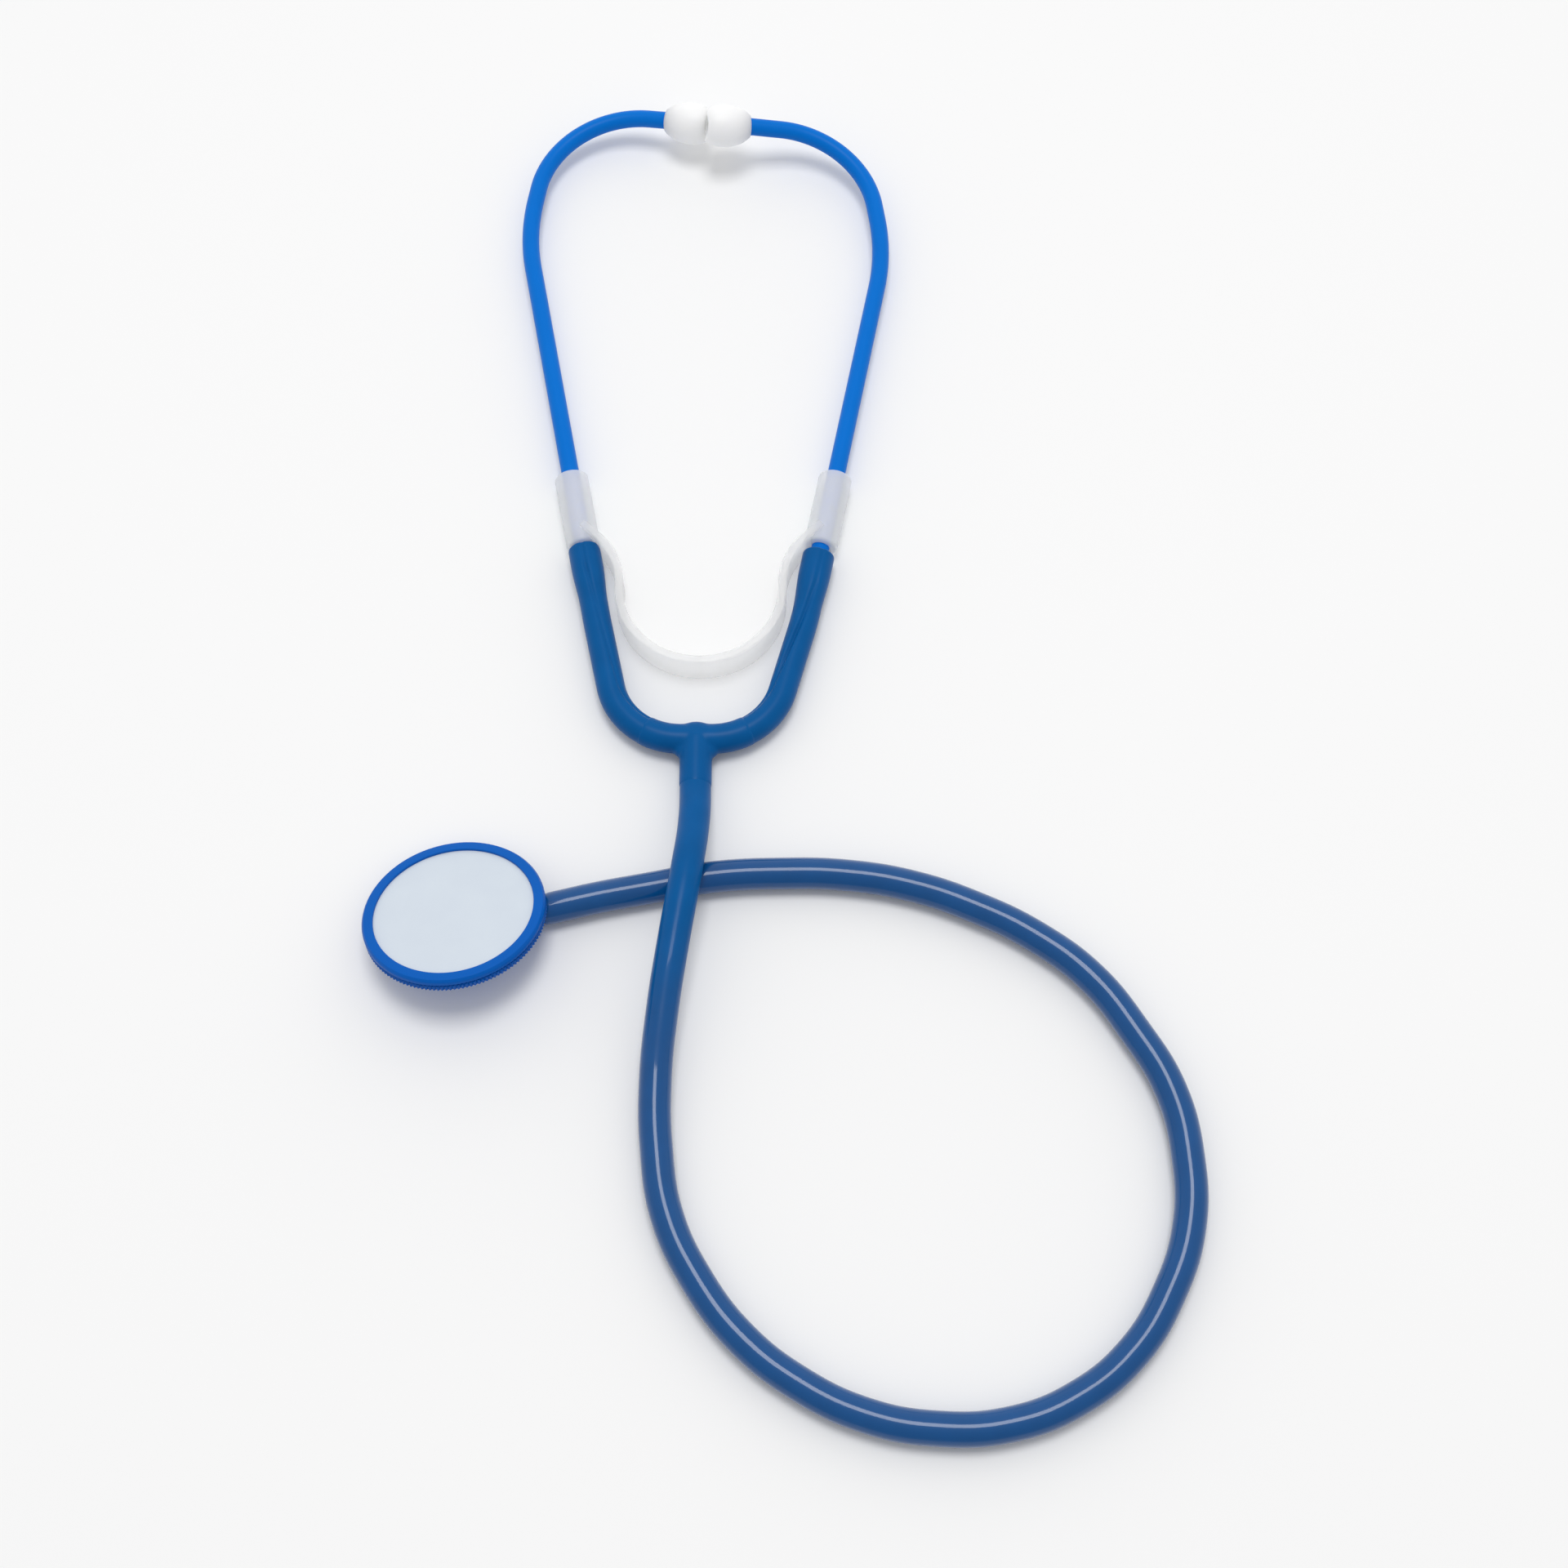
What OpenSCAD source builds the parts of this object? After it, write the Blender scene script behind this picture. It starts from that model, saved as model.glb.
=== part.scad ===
// Toy stethoscope, laid out on a table: chestpiece, looped hose, forked tubing and a sprung headset.
// Units are millimetres, +Z is up, +Y runs from the fork to the ear tips.

/* [Hose] */
// Outside diameter of the hose
hose_od = 8.3; // [6:0.1:10]
// Bore of the hose
hose_bore = 4.6; // [3:0.1:5]
// Flat sides round the hose
hose_sides = 12; // [8:1:12]
// Steps of its curve between two points of its route
hose_steps = 2; // [1:1:3]

/* [Forked tubing] */
// Outside diameter of an arm
arm_od = 7.7; // [6.6:0.1:9]
// Bore of an arm
arm_bore = 3.6; // [2:0.1:4.6]
// Middle radius of the bend in each arm
arm_bend_r = 19.5; // [14:0.5:24]
// Last straight run of each arm, up to its mouth
arm_run = 22; // [20:0.5:26]
// Radius of the slight bend below that run
arm_ease_r = 90; // [60:5:120]
// Distance of the arms' mouths from the fork, along
mouth_up = 57.6; // [54:0.1:62]
// Half distance between the arms' mouths
mouth_half = 32.6; // [30:0.1:36]
// Angle that each side leans out above that
side_angle = 11; // [7:0.1:12]
// Outside diameter of the swollen mouth of an arm
mouth_od = 8.7; // [7.6:0.1:10]
// Length of the swollen mouth
mouth_len = 6; // [3:0.5:10]
// Length of the taper behind the mouth
mouth_taper = 9; // [2:0.5:9]
// Rounding of the mouth's rim
mouth_round = 0.8; // [0.3:0.1:1.2]
// Depth that an ear tube is pushed in
tube_push = 16; // [10:0.5:17]
// Half length of the fork's crosspiece
fork_half = 4.2; // [3:0.1:8]
// Length of the fork's stem
fork_stem = 12; // [8:0.5:20]
// Radius of the web in the fork's inner corners
fork_web_r = 2; // [1:0.1:3]
// Thickness of that web
fork_web_t = 4; // [2:0.5:6]

/* [Spring band] */
// Outside diameter of a sleeve
sleeve_od = 9.4; // [8:0.1:12]
// Length of a sleeve
sleeve_len = 23; // [14:0.5:28]
// Rounding of a sleeve's ends
sleeve_round = 0.8; // [0.3:0.1:1.5]
// Bare tube between an arm's mouth and its sleeve
sleeve_gap = 1.5; // [0.5:0.1:4]
// Thickness of the strap
strap_t = 2.2; // [1.5:0.1:3]
// Height of the strap, on edge
strap_h = 9; // [6:0.1:9.4]
// Inside radius of the strap's U
strap_r = 20.2; // [16:0.1:20.6]
// Straight run of each strap leg above the U
strap_leg = 1.5; // [1:0.5:5]
// Radius of the curve that takes a leg out towards its sleeve
strap_flare_r = 20; // [15:0.5:21]
// Angle at which a leg runs into its sleeve
strap_flare_angle = 45; // [40:1:50]
// Space between the bottom of the U and the fork
strap_rise = 22.4; // [19:0.1:24]

/* [Ear tubes] */
// Outside diameter of an ear tube
tube_od = 5; // [4:0.1:5.6]
// Bore of an ear tube
tube_bore = 3; // [2:0.1:3.6]
// Straight run of an ear tube above its sleeve
tube_run = 67.4; // [45:0.1:80]
// Radius of the gentle bend above the straight run
tube_sweep_r = 69; // [50:1:90]
// Angle of that gentle bend
tube_sweep = 20.5; // [12:0.5:24]
// Straight run between the two bends
tube_upright = 4.5; // [3:0.5:14]
// Radius of the bend over the top
tube_crook_r = 28; // [24:0.5:32]
// Turn of the left ear tube in its sleeve, which lifts its tip
left_turn = 7; // [4:0.5:10]
// Turn of the right ear tube in its sleeve
right_turn = 12; // [8:0.5:16]
// How much further the left ear tube stands out
left_standout = 7.3; // [5:0.1:9]

/* [Ear tips] */
// Largest diameter of an ear tip
tip_od = 12.3; // [10:0.1:14]
// Length of an ear tip
tip_len = 13.4; // [11:0.1:16]
// Distance from the rim to the fullest place
tip_full = 8; // [6:0.1:9]
// Diameter of the rim that meets the tube
tip_rim_od = 6.8; // [6.4:0.1:8]
// Diameter of the flat nose round the sound hole
tip_nose_od = 7.6; // [6:0.1:9]
// Sound hole in the nose
tip_hole = 3; // [2:0.1:4]
// Depth that the tube reaches into the tip
tip_grip = 8.5; // [6:0.5:10]
// Space between the middles of the two noses, across
tip_gap = 0.2; // [0.2:0.1:3]

/* [Chestpiece] */
// Outside diameter of the retaining ring
ring_od = 47; // [40:0.5:54]
// Height of the ring
ring_h = 3.85; // [3.4:0.05:5]
// Wall of the ring beside the cup
ring_wall = 1.5; // [1.2:0.1:2]
// Clear opening in the ring
ring_window = 41.2; // [34:0.2:41.6]
// Thickness of the ring's lip over the diaphragm
ring_lip = 0.7; // [0.5:0.05:1]
// Bevel round the ring's front
ring_bevel = 0.6; // [0.3:0.1:0.8]
// Height of the smooth band
ring_band_h = 1.75; // [1.2:0.05:2]
// Width and depth of the groove under the smooth band
ring_groove = 0.3; // [0.2:0.05:0.4]
// Teeth round the knurl
knurl_teeth = 170; // [120:1:200]
// Depth of the knurl
knurl_depth = 0.35; // [0.2:0.05:0.5]
// Height of the snap bead that holds the ring
bead_h = 1; // [0.6:0.1:1.4]
// How far the bead stands out of the cup
bead_out = 0.35; // [0.2:0.05:0.5]
// Thickness of the diaphragm
diaphragm_t = 0.4; // [0.3:0.05:0.6]
// Width of the cup's rim that the diaphragm lies on
cup_rim = 1.6; // [1.2:0.1:2]
// Depth of the straight part of the cup's wall
cup_wall_h = 3.2; // [2.8:0.1:3.6]
// Wall of the cup's cone
cup_wall = 2.2; // [1.6:0.1:2.6]
// Distance from the ring's front to the stem's axis
stem_drop = 8; // [7.4:0.1:9]
// Radius of the hub behind the cup
hub_r = 6; // [5:0.1:6.2]
// Depth of the hub behind the stem's axis
hub_back = 2.8; // [2:0.1:2.8]
// Chamfer round the hub's back
hub_chamfer = 1.4; // [1:0.1:1.6]
// Diameter of the boss that carries the stem
boss_od = 7; // [6.4:0.1:7.6]
// Distance from the boss's end out to the ring's edge
boss_short = 0.5; // [0.4:0.1:1]
// Diameter of the stem
stem_od = 5; // [4.6:0.1:5.4]
// Sound channel in the stem
stem_bore = 3; // [2:0.1:3.4]
// Length of the stem in the hose
stem_len = 9.5; // [7:0.5:12]
// How far the stem's barb stands out
barb_out = 0.3; // [0.1:0.05:0.5]
// Length of the barb
barb_len = 2; // [1:0.1:3]
// Outside diameter of the hose where the stem swells it
swell_od = 8.6; // [8:0.1:9.4]
// Length of the swollen hose end
swell_len = 10; // [8:0.5:14]
// Rounding of its rim, under the ring's edge
swell_round = 0.8; // [0.8:0.1:1.2]

/* [Layout] */
// Fork's middle line
headset_x = 15; // [0:0.5:30]
// How far the headset above the fork lies to the right of it
headset_shift = 0.65; // [0:0.05:1.5]
// Place of the fork
fork_y = -68; // [-75:0.5:-60]
// Place of the hub, across
chest_x = -45; // [-50:0.5:-40]
// Place of the hub, along
chest_y = -122; // [-125:0.5:-118]
// Direction of the stem on the table
chest_turn = 14; // [10:0.5:18]
// Lean of the chestpiece about its stem
chest_lean = 20; // [14:0.5:20]

/* [Fits] */
// Clearance at each turning fit, on the radius
turn_gap = 0.05; // [0.02:0.01:0.1]
// Clearance between the strap and what it runs up to
strap_gap = 0.1; // [0.05:0.05:0.3]
// Clearance between the boss and the hose end
face_gap = 0.3; // [0.2:0.05:0.5]

/* [Hidden] */

$fn = 48;
cut = 1;              // spare length on every cutting tool
weld = 0.5;           // how far a straight run reaches into the wall of the bend that it joins
weld_step = 0.04;     // how much thinner that run is than the bend
arc_steps = 5;        // points on a rounded corner of a profile
egg_steps = 8;        // points on each half of an ear tip's profile
dome_turn = 75;       // angle at which the fork's round end is cut flat
blue = "#0a5fb4";
tube_blue = "#0a6ecb";
hose_blue = "#17548a";
frost = "#e6e8e8";
milk = "#ebebe9";
pale_grey = "#d2dce4";

// Headset heights and the side axes, which start at the arms' mouths
headset_z = sleeve_od / 2;
side_dir = [sin(side_angle), cos(side_angle)];
socket_r = tube_od / 2 + turn_gap;
strap_foot = strap_rise + strap_r;

// Each arm, seen from the fork: its bend, a straight run that touches it, and a slight bend on to its axis
function mouth_at(side) = [mouth_half + (side == "left" ? -1 : 1) * headset_shift, mouth_up];
function to_ease(side) = mouth_at(side) - arm_run * side_dir - [fork_half, arm_bend_r];
function arm_lean(side) =
    acos(arm_bend_r / norm(to_ease(side))) - atan2(to_ease(side)[1], to_ease(side)[0]);
function ease_angle(side) = arm_lean(side) - side_angle;
function ease_reach(side) = arm_ease_r * tan(ease_angle(side) / 2);
function lower_run(side) = sqrt(pow(norm(to_ease(side)), 2) - pow(arm_bend_r, 2)) - ease_reach(side);

// Each ear tube, measured along its side axis and in from it
function turn_of(side) = side == "left" ? left_turn : right_turn;
function standout_of(side) = side == "left" ? left_standout : 0;
crook_start = [sleeve_gap + sleeve_len + tube_run, 0]
            + tube_sweep_r * [sin(tube_sweep), 1 - cos(tube_sweep)]
            + tube_upright * [cos(tube_sweep), sin(tube_sweep)];
crook_end = crook_start
          + tube_crook_r * [cos(tube_sweep) - sin(tube_sweep), cos(tube_sweep) + sin(tube_sweep)];
function crook_out(side) = mouth_half + (crook_end[0] + standout_of(side)) * sin(side_angle)
                         - crook_end[1] * cos(side_angle) * cos(turn_of(side));
function inward_step(side) =
    sin(tube_sweep) * sin(side_angle) + cos(tube_sweep) * cos(side_angle) * cos(turn_of(side));
nose_run = (crook_out("left") + crook_out("right") - tip_gap)
         / (inward_step("left") + inward_step("right"));
tube_end_run = nose_run - tip_len + tip_grip;
tube_foot_run = tube_push + sleeve_gap + sleeve_len + tube_run;

// Chestpiece heights, measured from the stem's axis along the disc's axis
ring_front = stem_drop;
ring_back = ring_front - ring_h;
lip_back = ring_front - ring_lip;
cup_top = lip_back - turn_gap - diaphragm_t;
cup_r = ring_od / 2 - ring_wall - turn_gap;
cup_foot = cup_top - cup_wall_h;
bead_mid = cup_top - cup_wall_h / 2;
cone_foot = boss_od / 2 - cup_wall;
boss_len = ring_od / 2 - boss_short;
swell_start = boss_len + face_gap;
stem_z = swell_od / 2;
stem_dir = [cos(chest_turn), sin(chest_turn), 0];
chest_at = [chest_x, chest_y, stem_z];

// The hose's free route on the table, from the fork's stem over itself to the chest's stem
hose_from = [headset_x, fork_y - fork_stem, headset_z];
hose_to = chest_at + (swell_start + swell_len) * stem_dir;
hose_route = concat([hose_from], [
    [15, -93.5, 8.6], [13.5, -109, 13.1], [10.5, -128, 12], [8, -145, 9], [6.5, -162, 6],
    [7, -179, 4.5], [10, -196, 4.2], [17.5, -211.5, 4.2], [28, -225, 4.2], [41.5, -235.5, 4.2],
    [57.5, -243, 4.2], [74, -246, 4.2], [91.5, -245, 4.2], [107.5, -239, 4.2], [121, -228.5, 4.2],
    [130.5, -214.5, 4.2], [136.5, -198.5, 4.2], [137.5, -181.5, 4.2], [134.5, -164.5, 4.2],
    [126.5, -149, 4.2], [116.5, -135, 4.2], [103, -124, 4.2], [88, -116, 4.2], [71.5, -110, 4.2],
    [54.5, -107, 4.2], [37.5, -106.5, 4.2], [20, -107.5, 4.2], [4, -110.5, 4.2]], [hose_to]);

function unit(v) = v / norm(v);

// A route point; the two past its ends carry it on straight
function route_at(i) =
    i < 0 ? 2 * hose_from - [hose_from[0], hose_route[1][1], hose_from[2]]
    : i == len(hose_route) ? hose_to - norm(hose_to - hose_route[i - 2]) * stem_dir
    : hose_route[i];

// A smooth curve through the route: t runs from point i to the next
function route_curve(i, t) =
    let (a = route_at(i - 1), b = route_at(i), c = route_at(i + 1), d = route_at(i + 2))
    b + t / 2 * (c - a + t * (2 * a - 5 * b + 4 * c - d + t * (3 * b - a - 3 * c + d)));

hose_line = concat(
    [for (i = [0 : len(hose_route) - 2]) for (k = [0 : hose_steps - 1]) route_curve(i, k / hose_steps)],
    [hose_to]);

// Direction of the line at point i: square to what it meets at both ends
function heading(i) =
    i == 0 ? [0, -1, 0]
    : i == len(hose_line) - 1 ? -stem_dir
    : unit(hose_line[i + 1] - hose_line[i - 1]);

function ring_points(i, r) =
    let (along = heading(i), across = unit(cross(along, [0, 0, 1])), lift = cross(across, along))
    [for (k = [0 : hose_sides - 1])
        let (a = 360 * (k + 0.5) / hose_sides)
        hose_line[i] + r * (cos(a) * across + sin(a) * lift)];

// A rounded corner of a profile: r is its radius, from angle a0 to angle a1
function corner(centre, r, a0, a1) =
    [for (k = [0 : arc_steps]) let (a = a0 + (a1 - a0) * k / arc_steps) centre + r * [cos(a), sin(a)]];

// Triangles of a wall between two neighbouring rings of points; flip turns it inside out
function wall_faces(first, second, flip) =
    [for (k = [0 : hose_sides - 1])
        let (n = (k + 1) % hose_sides, a = first + k, b = first + n, c = second + k, d = second + n)
        each flip ? [[a, b, c], [b, d, c]] : [[a, c, b], [b, c, d]]];

module hollow_run(od, bore, length) {
    difference() {
        cylinder(d = od, h = length);
        translate([0, 0, -cut]) cylinder(d = bore, h = length + 2 * cut);
    }
}

module hollow_ring(od, bore) {
    difference() {
        circle(d = od);
        circle(d = bore);
    }
}

// A bent run that starts at the origin along +Z and turns towards -X
module hollow_bend(od, bore, r, angle) {
    rotate([90, 0, 0]) translate([-r, 0, 0])
        rotate_extrude(angle = angle) translate([r, 0]) hollow_ring(od, bore);
}

module after_bend(r, angle) {
    translate([-r * (1 - cos(angle)), 0, r * sin(angle)]) rotate([0, -angle, 0]) children();
}

module in_fork() {
    translate([headset_x, fork_y, headset_z]) children();
}

// The headset above the fork lies a little to its right
module in_headset() {
    in_fork() translate([headset_shift, 0, 0]) children();
}

// Left pieces are the right ones mirrored
module for_side(side) {
    mirror([side == "left" ? 1 : 0, 0, 0]) children();
}

// +Z heads up and out by a lean, and -X points in
module leaning(place, lean) {
    translate([place[0], place[1], 0]) rotate([0, 0, -lean]) rotate([-90, 0, 0]) children();
}

module on_right_axis() {
    leaning([mouth_half, mouth_up], side_angle) children();
}

module y_junction() {
    dome_r = hose_od / 2;
    color(hose_blue) in_fork() difference() {
        union() {
            rotate([90, 0, 0]) rotate_extrude()
                polygon(concat([[0, fork_stem], [dome_r, fork_stem]], corner([0, 0], dome_r, 0, -dome_turn),
                               [[0, -dome_r * sin(dome_turn)]]));
            translate([-fork_half, 0, 0]) rotate([0, 90, 0]) cylinder(d = arm_od, h = 2 * fork_half);
            for (side = ["left", "right"])
                for_side(side) translate([dome_r, -arm_od / 2 - turn_gap, 0]) fork_web();
        }
        translate([-fork_half - cut, 0, 0]) rotate([0, 90, 0])
            cylinder(d = arm_bore, h = 2 * fork_half + 2 * cut);
        rotate([90, 0, 0]) cylinder(d = hose_bore, h = fork_stem + cut);
    }
}

// Fills the corner between the stem and an arm with a hollow curve, rooted in the stem's wall
module fork_web() {
    root = (hose_od - hose_bore) / 4;
    linear_extrude(height = fork_web_t, center = true) difference() {
        translate([-root, -fork_web_r]) square([root + fork_web_r, fork_web_r]);
        translate([fork_web_r, -fork_web_r]) circle(r = fork_web_r);
    }
}

module y_arm(side) {
    mouth_r = mouth_od / 2;
    run_od = arm_od - weld_step;
    run_bore = arm_bore + weld_step;
    run_foot = ease_reach(side) - arm_run - weld;
    lean = arm_lean(side);
    bend_end = [fork_half, arm_bend_r] + arm_bend_r * [cos(lean), -sin(lean)];
    color(hose_blue) in_fork() for_side(side) {
        translate([fork_half, arm_bend_r, 0]) rotate([0, 0, -90])
            rotate_extrude(angle = 90 - lean) translate([arm_bend_r, 0]) hollow_ring(arm_od, arm_bore);
        leaning(bend_end, lean) {
            translate([0, 0, -weld]) hollow_run(run_od, run_bore, lower_run(side) + 2 * weld);
            translate([0, 0, lower_run(side)]) hollow_bend(arm_od, arm_bore, arm_ease_r, ease_angle(side));
        }
        leaning(mouth_at(side), side_angle) difference() {
            rotate_extrude() polygon(concat(
                [[0, run_foot], [run_od / 2, run_foot], [run_od / 2, -mouth_len - mouth_taper],
                 [mouth_r, -mouth_len]],
                corner([mouth_r - mouth_round, -mouth_round], mouth_round, 0, 90), [[0, 0]]));
            translate([0, 0, run_foot - cut]) cylinder(d = run_bore, h = arm_run + 2 * cut);
            translate([0, 0, -tube_push - turn_gap]) cylinder(r = socket_r, h = tube_push + cut);
        }
    }
}

module sleeve_profile(grow) {
    r = sleeve_od / 2 + grow;
    polygon(concat(
        [[0, -grow]], corner([r - sleeve_round, sleeve_round - grow], sleeve_round, -90, 0),
        corner([r - sleeve_round, sleeve_len + grow - sleeve_round], sleeve_round, 0, 90),
        [[0, sleeve_len + grow]]));
}

module band_sleeve(side) {
    color(frost) in_headset() for_side(side) on_right_axis() translate([0, 0, sleeve_gap])
        difference() {
            rotate_extrude() sleeve_profile(0);
            translate([0, 0, -cut]) cylinder(r = socket_r, h = sleeve_len + 2 * cut);
        }
}

// The right leg of the strap in plan: straight, curving out, then straight in to the sleeve's axis
module strap_leg_plan() {
    reach = strap_flare_r;
    flare_x = strap_r + strap_t / 2 + strap_flare_r;
    mouth = [mouth_half, mouth_up];
    run_t = strap_t - weld_step;
    translate([strap_r + weld_step / 2, strap_foot - weld]) square([run_t, strap_leg + 2 * weld]);
    intersection() {
        translate([flare_x, strap_foot + strap_leg]) {
            rotate(180 - strap_flare_angle) intersection() {
                hollow_ring(2 * strap_flare_r + strap_t, 2 * strap_flare_r - strap_t);
                square(2 * reach);
                rotate(strap_flare_angle - 90) square(2 * reach);
            }
            rotate(180 - strap_flare_angle) translate([strap_flare_r - run_t / 2, -reach])
                square([run_t, reach + weld]);
        }
        polygon([mouth - mouth_up * side_dir, mouth + sleeve_len * side_dir, [0, mouth_up], [0, 0]]);
    }
}

module spring_strap() {
    u_width = 2 * (strap_r + strap_t);
    color(frost) in_headset() difference() {
        translate([0, 0, -strap_h / 2]) linear_extrude(height = strap_h) {
            translate([0, strap_foot]) intersection() {
                hollow_ring(u_width, 2 * strap_r);
                translate([-u_width / 2, -u_width / 2]) square([u_width, u_width / 2]);
            }
            strap_leg_plan();
            mirror([1, 0, 0]) strap_leg_plan();
        }
        for (side = ["left", "right"]) for_side(side) on_right_axis() {
            translate([0, 0, sleeve_gap]) rotate_extrude() sleeve_profile(strap_gap);
            translate([0, 0, -arm_run]) cylinder(d = mouth_od + 2 * strap_gap, h = arm_run + strap_gap);
            cylinder(d = tube_od + 2 * strap_gap, h = sleeve_gap + cut);
        }
    }
}

// Places children at the foot of an ear tube in its arm, turned in its sleeve
module on_tube_foot(side) {
    in_headset() for_side(side) on_right_axis()
        translate([0, 0, standout_of(side) - tube_push]) rotate([0, 0, turn_of(side)]) children();
}

module on_tube_end() {
    translate([0, 0, tube_foot_run]) after_bend(tube_sweep_r, tube_sweep)
        translate([0, 0, tube_upright]) after_bend(tube_crook_r, 90) children();
}

module ear_tube(side) {
    color(tube_blue) on_tube_foot(side) {
        hollow_run(tube_od, tube_bore, tube_foot_run);
        translate([0, 0, tube_foot_run]) {
            hollow_bend(tube_od, tube_bore, tube_sweep_r, tube_sweep);
            after_bend(tube_sweep_r, tube_sweep) {
                translate([0, 0, -weld])
                    hollow_run(tube_od - weld_step, tube_bore + weld_step, tube_upright + weld);
                translate([0, 0, tube_upright]) hollow_bend(tube_od, tube_bore, tube_crook_r, 90);
            }
        }
        on_tube_end() hollow_run(tube_od, tube_bore, tube_end_run);
    }
}

// Height of the egg at a given radius: a is the half length of that end's ellipse
function egg_half(flat_od, length) = length / sqrt(1 - pow(flat_od / tip_od, 2));

module ear_tip(side) {
    rim_a = asin(tip_rim_od / tip_od);
    nose_a = asin(tip_nose_od / tip_od);
    rim_half = egg_half(tip_rim_od, tip_full);
    nose_half = egg_half(tip_nose_od, tip_len - tip_full);
    lower = [for (k = [0 : egg_steps]) let (a = rim_a + (90 - rim_a) * k / egg_steps)
        [tip_od / 2 * sin(a), tip_full - rim_half * cos(a)]];
    upper = [for (k = [1 : egg_steps]) let (a = 90 + (90 - nose_a) * k / egg_steps)
        [tip_od / 2 * sin(a), tip_full - nose_half * cos(a)]];
    color(milk) on_tube_foot(side) on_tube_end() translate([0, 0, tube_end_run - tip_grip]) difference() {
        rotate_extrude() polygon(concat([[0, 0]], lower, upper, [[0, tip_len]]));
        translate([0, 0, -cut]) cylinder(r = socket_r, h = tip_grip + cut + turn_gap);
        cylinder(d = tip_hole, h = tip_len + cut);
    }
}

// +Z is the disc's axis and +X runs along the stem; the stem's axis is at the origin
module in_chest() {
    translate(chest_at) rotate([0, 0, chest_turn]) rotate([-chest_lean, 0, 0]) children();
}

function bead_points(r, grow) = [
    [r, bead_mid + bead_h / 2 + grow], [r + bead_out + grow, bead_mid],
    [r, bead_mid - bead_h / 2 - grow]];

module chest_body() {
    hub_foot = -hub_back;
    inner_r = cup_r - cup_rim;
    rim_depth = cup_top - cup_wall_h / 2;
    color(blue) in_chest() difference() {
        union() {
            rotate_extrude() polygon(concat(
                [[0, cup_top], [cup_r, cup_top]], bead_points(cup_r, 0),
                [[cup_r, cup_foot], [hub_r, cone_foot], [hub_r, hub_foot + hub_chamfer],
                 [hub_r - hub_chamfer, hub_foot], [0, hub_foot]]));
            rotate([0, 90, 0]) cylinder(d = boss_od, h = boss_len);
            translate([boss_len, 0, 0]) rotate([0, 90, 0]) rotate_extrude()
                polygon([[0, -cut], [stem_od / 2, -cut], [stem_od / 2, stem_len - 2 * barb_len],
                         [stem_od / 2 + barb_out, stem_len - 1.5 * barb_len],
                         [stem_od / 2, stem_len], [0, stem_len]]);
        }
        rotate_extrude() polygon([[0, cup_top + cut], [inner_r, cup_top + cut], [inner_r, rim_depth],
                                  [hub_r, boss_od / 2], [0, boss_od / 2]]);
        cylinder(d = stem_bore, h = cup_top);
        rotate([0, 90, 0]) cylinder(d = stem_bore, h = boss_len + stem_len + cut);
    }
}

module diaphragm() {
    color(pale_grey) in_chest() translate([0, 0, cup_top]) cylinder(r = cup_r, h = diaphragm_t);
}

module retaining_ring() {
    outer = ring_od / 2;
    inner = cup_r + turn_gap;
    band_foot = ring_front - ring_band_h;
    knurl_top = band_foot - ring_groove;
    color(blue) in_chest() difference() {
        union() {
            rotate_extrude() polygon([
                [ring_window / 2, ring_front], [outer - ring_bevel, ring_front],
                [outer, ring_front - ring_bevel], [outer, band_foot], [outer - ring_groove, band_foot],
                [outer - ring_groove, knurl_top], [inner + ring_wall / 2, knurl_top],
                [inner + ring_wall / 2, ring_back], [inner, ring_back], [inner, lip_back],
                [ring_window / 2, lip_back]]);
            translate([0, 0, ring_back]) linear_extrude(height = knurl_top - ring_back) difference() {
                polygon([for (k = [0 : 2 * knurl_teeth - 1])
                    let (a = 180 * k / knurl_teeth, r = outer - (k % 2) * knurl_depth) r * [cos(a), sin(a)]]);
                circle(r = inner + ring_wall / 4);
            }
        }
        rotate_extrude() polygon(concat(
            [[0, bead_mid + bead_h / 2 + turn_gap]], bead_points(inner, turn_gap / 2),
            [[0, bead_mid - bead_h / 2 - turn_gap]]));
    }
}

// The hose where the stem swells it, and the barb that holds it
module hose_end() {
    swell_r = swell_od / 2;
    bore_r = stem_od / 2 + turn_gap;
    pocket = stem_len + face_gap;
    barb_at = stem_len - face_gap - 1.5 * barb_len;
    color(hose_blue) in_chest() translate([swell_start, 0, 0]) rotate([0, 90, 0]) difference() {
        rotate_extrude() polygon(concat(
            [[0, 0]], corner([swell_r - swell_round, swell_round], swell_round, -90, 0),
            [[swell_r, swell_len * 0.6], [hose_od / 2, swell_len], [0, swell_len]]));
        rotate_extrude() polygon([
            [0, -cut], [bore_r, -cut], [bore_r, barb_at - barb_len / 2], [bore_r + barb_out, barb_at],
            [bore_r, barb_at + 1.5 * barb_len], [bore_r, pocket], [0, pocket]]);
        cylinder(d = hose_bore, h = swell_len + cut);
    }
}

module main_hose() {
    rings = len(hose_line);
    inside = rings * hose_sides;
    points = concat(
        [for (i = [0 : rings - 1]) each ring_points(i, hose_od / 2)],
        [for (i = [0 : rings - 1]) each ring_points(i, hose_bore / 2)]);
    color(hose_blue) polyhedron(points, concat(
        [for (i = [0 : rings - 2]) each wall_faces(i * hose_sides, (i + 1) * hose_sides, false)],
        [for (i = [0 : rings - 2]) each wall_faces(inside + i * hose_sides, inside + (i + 1) * hose_sides, true)],
        wall_faces(0, inside, true),
        wall_faces((rings - 1) * hose_sides, inside + (rings - 1) * hose_sides, false)));
}

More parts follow.
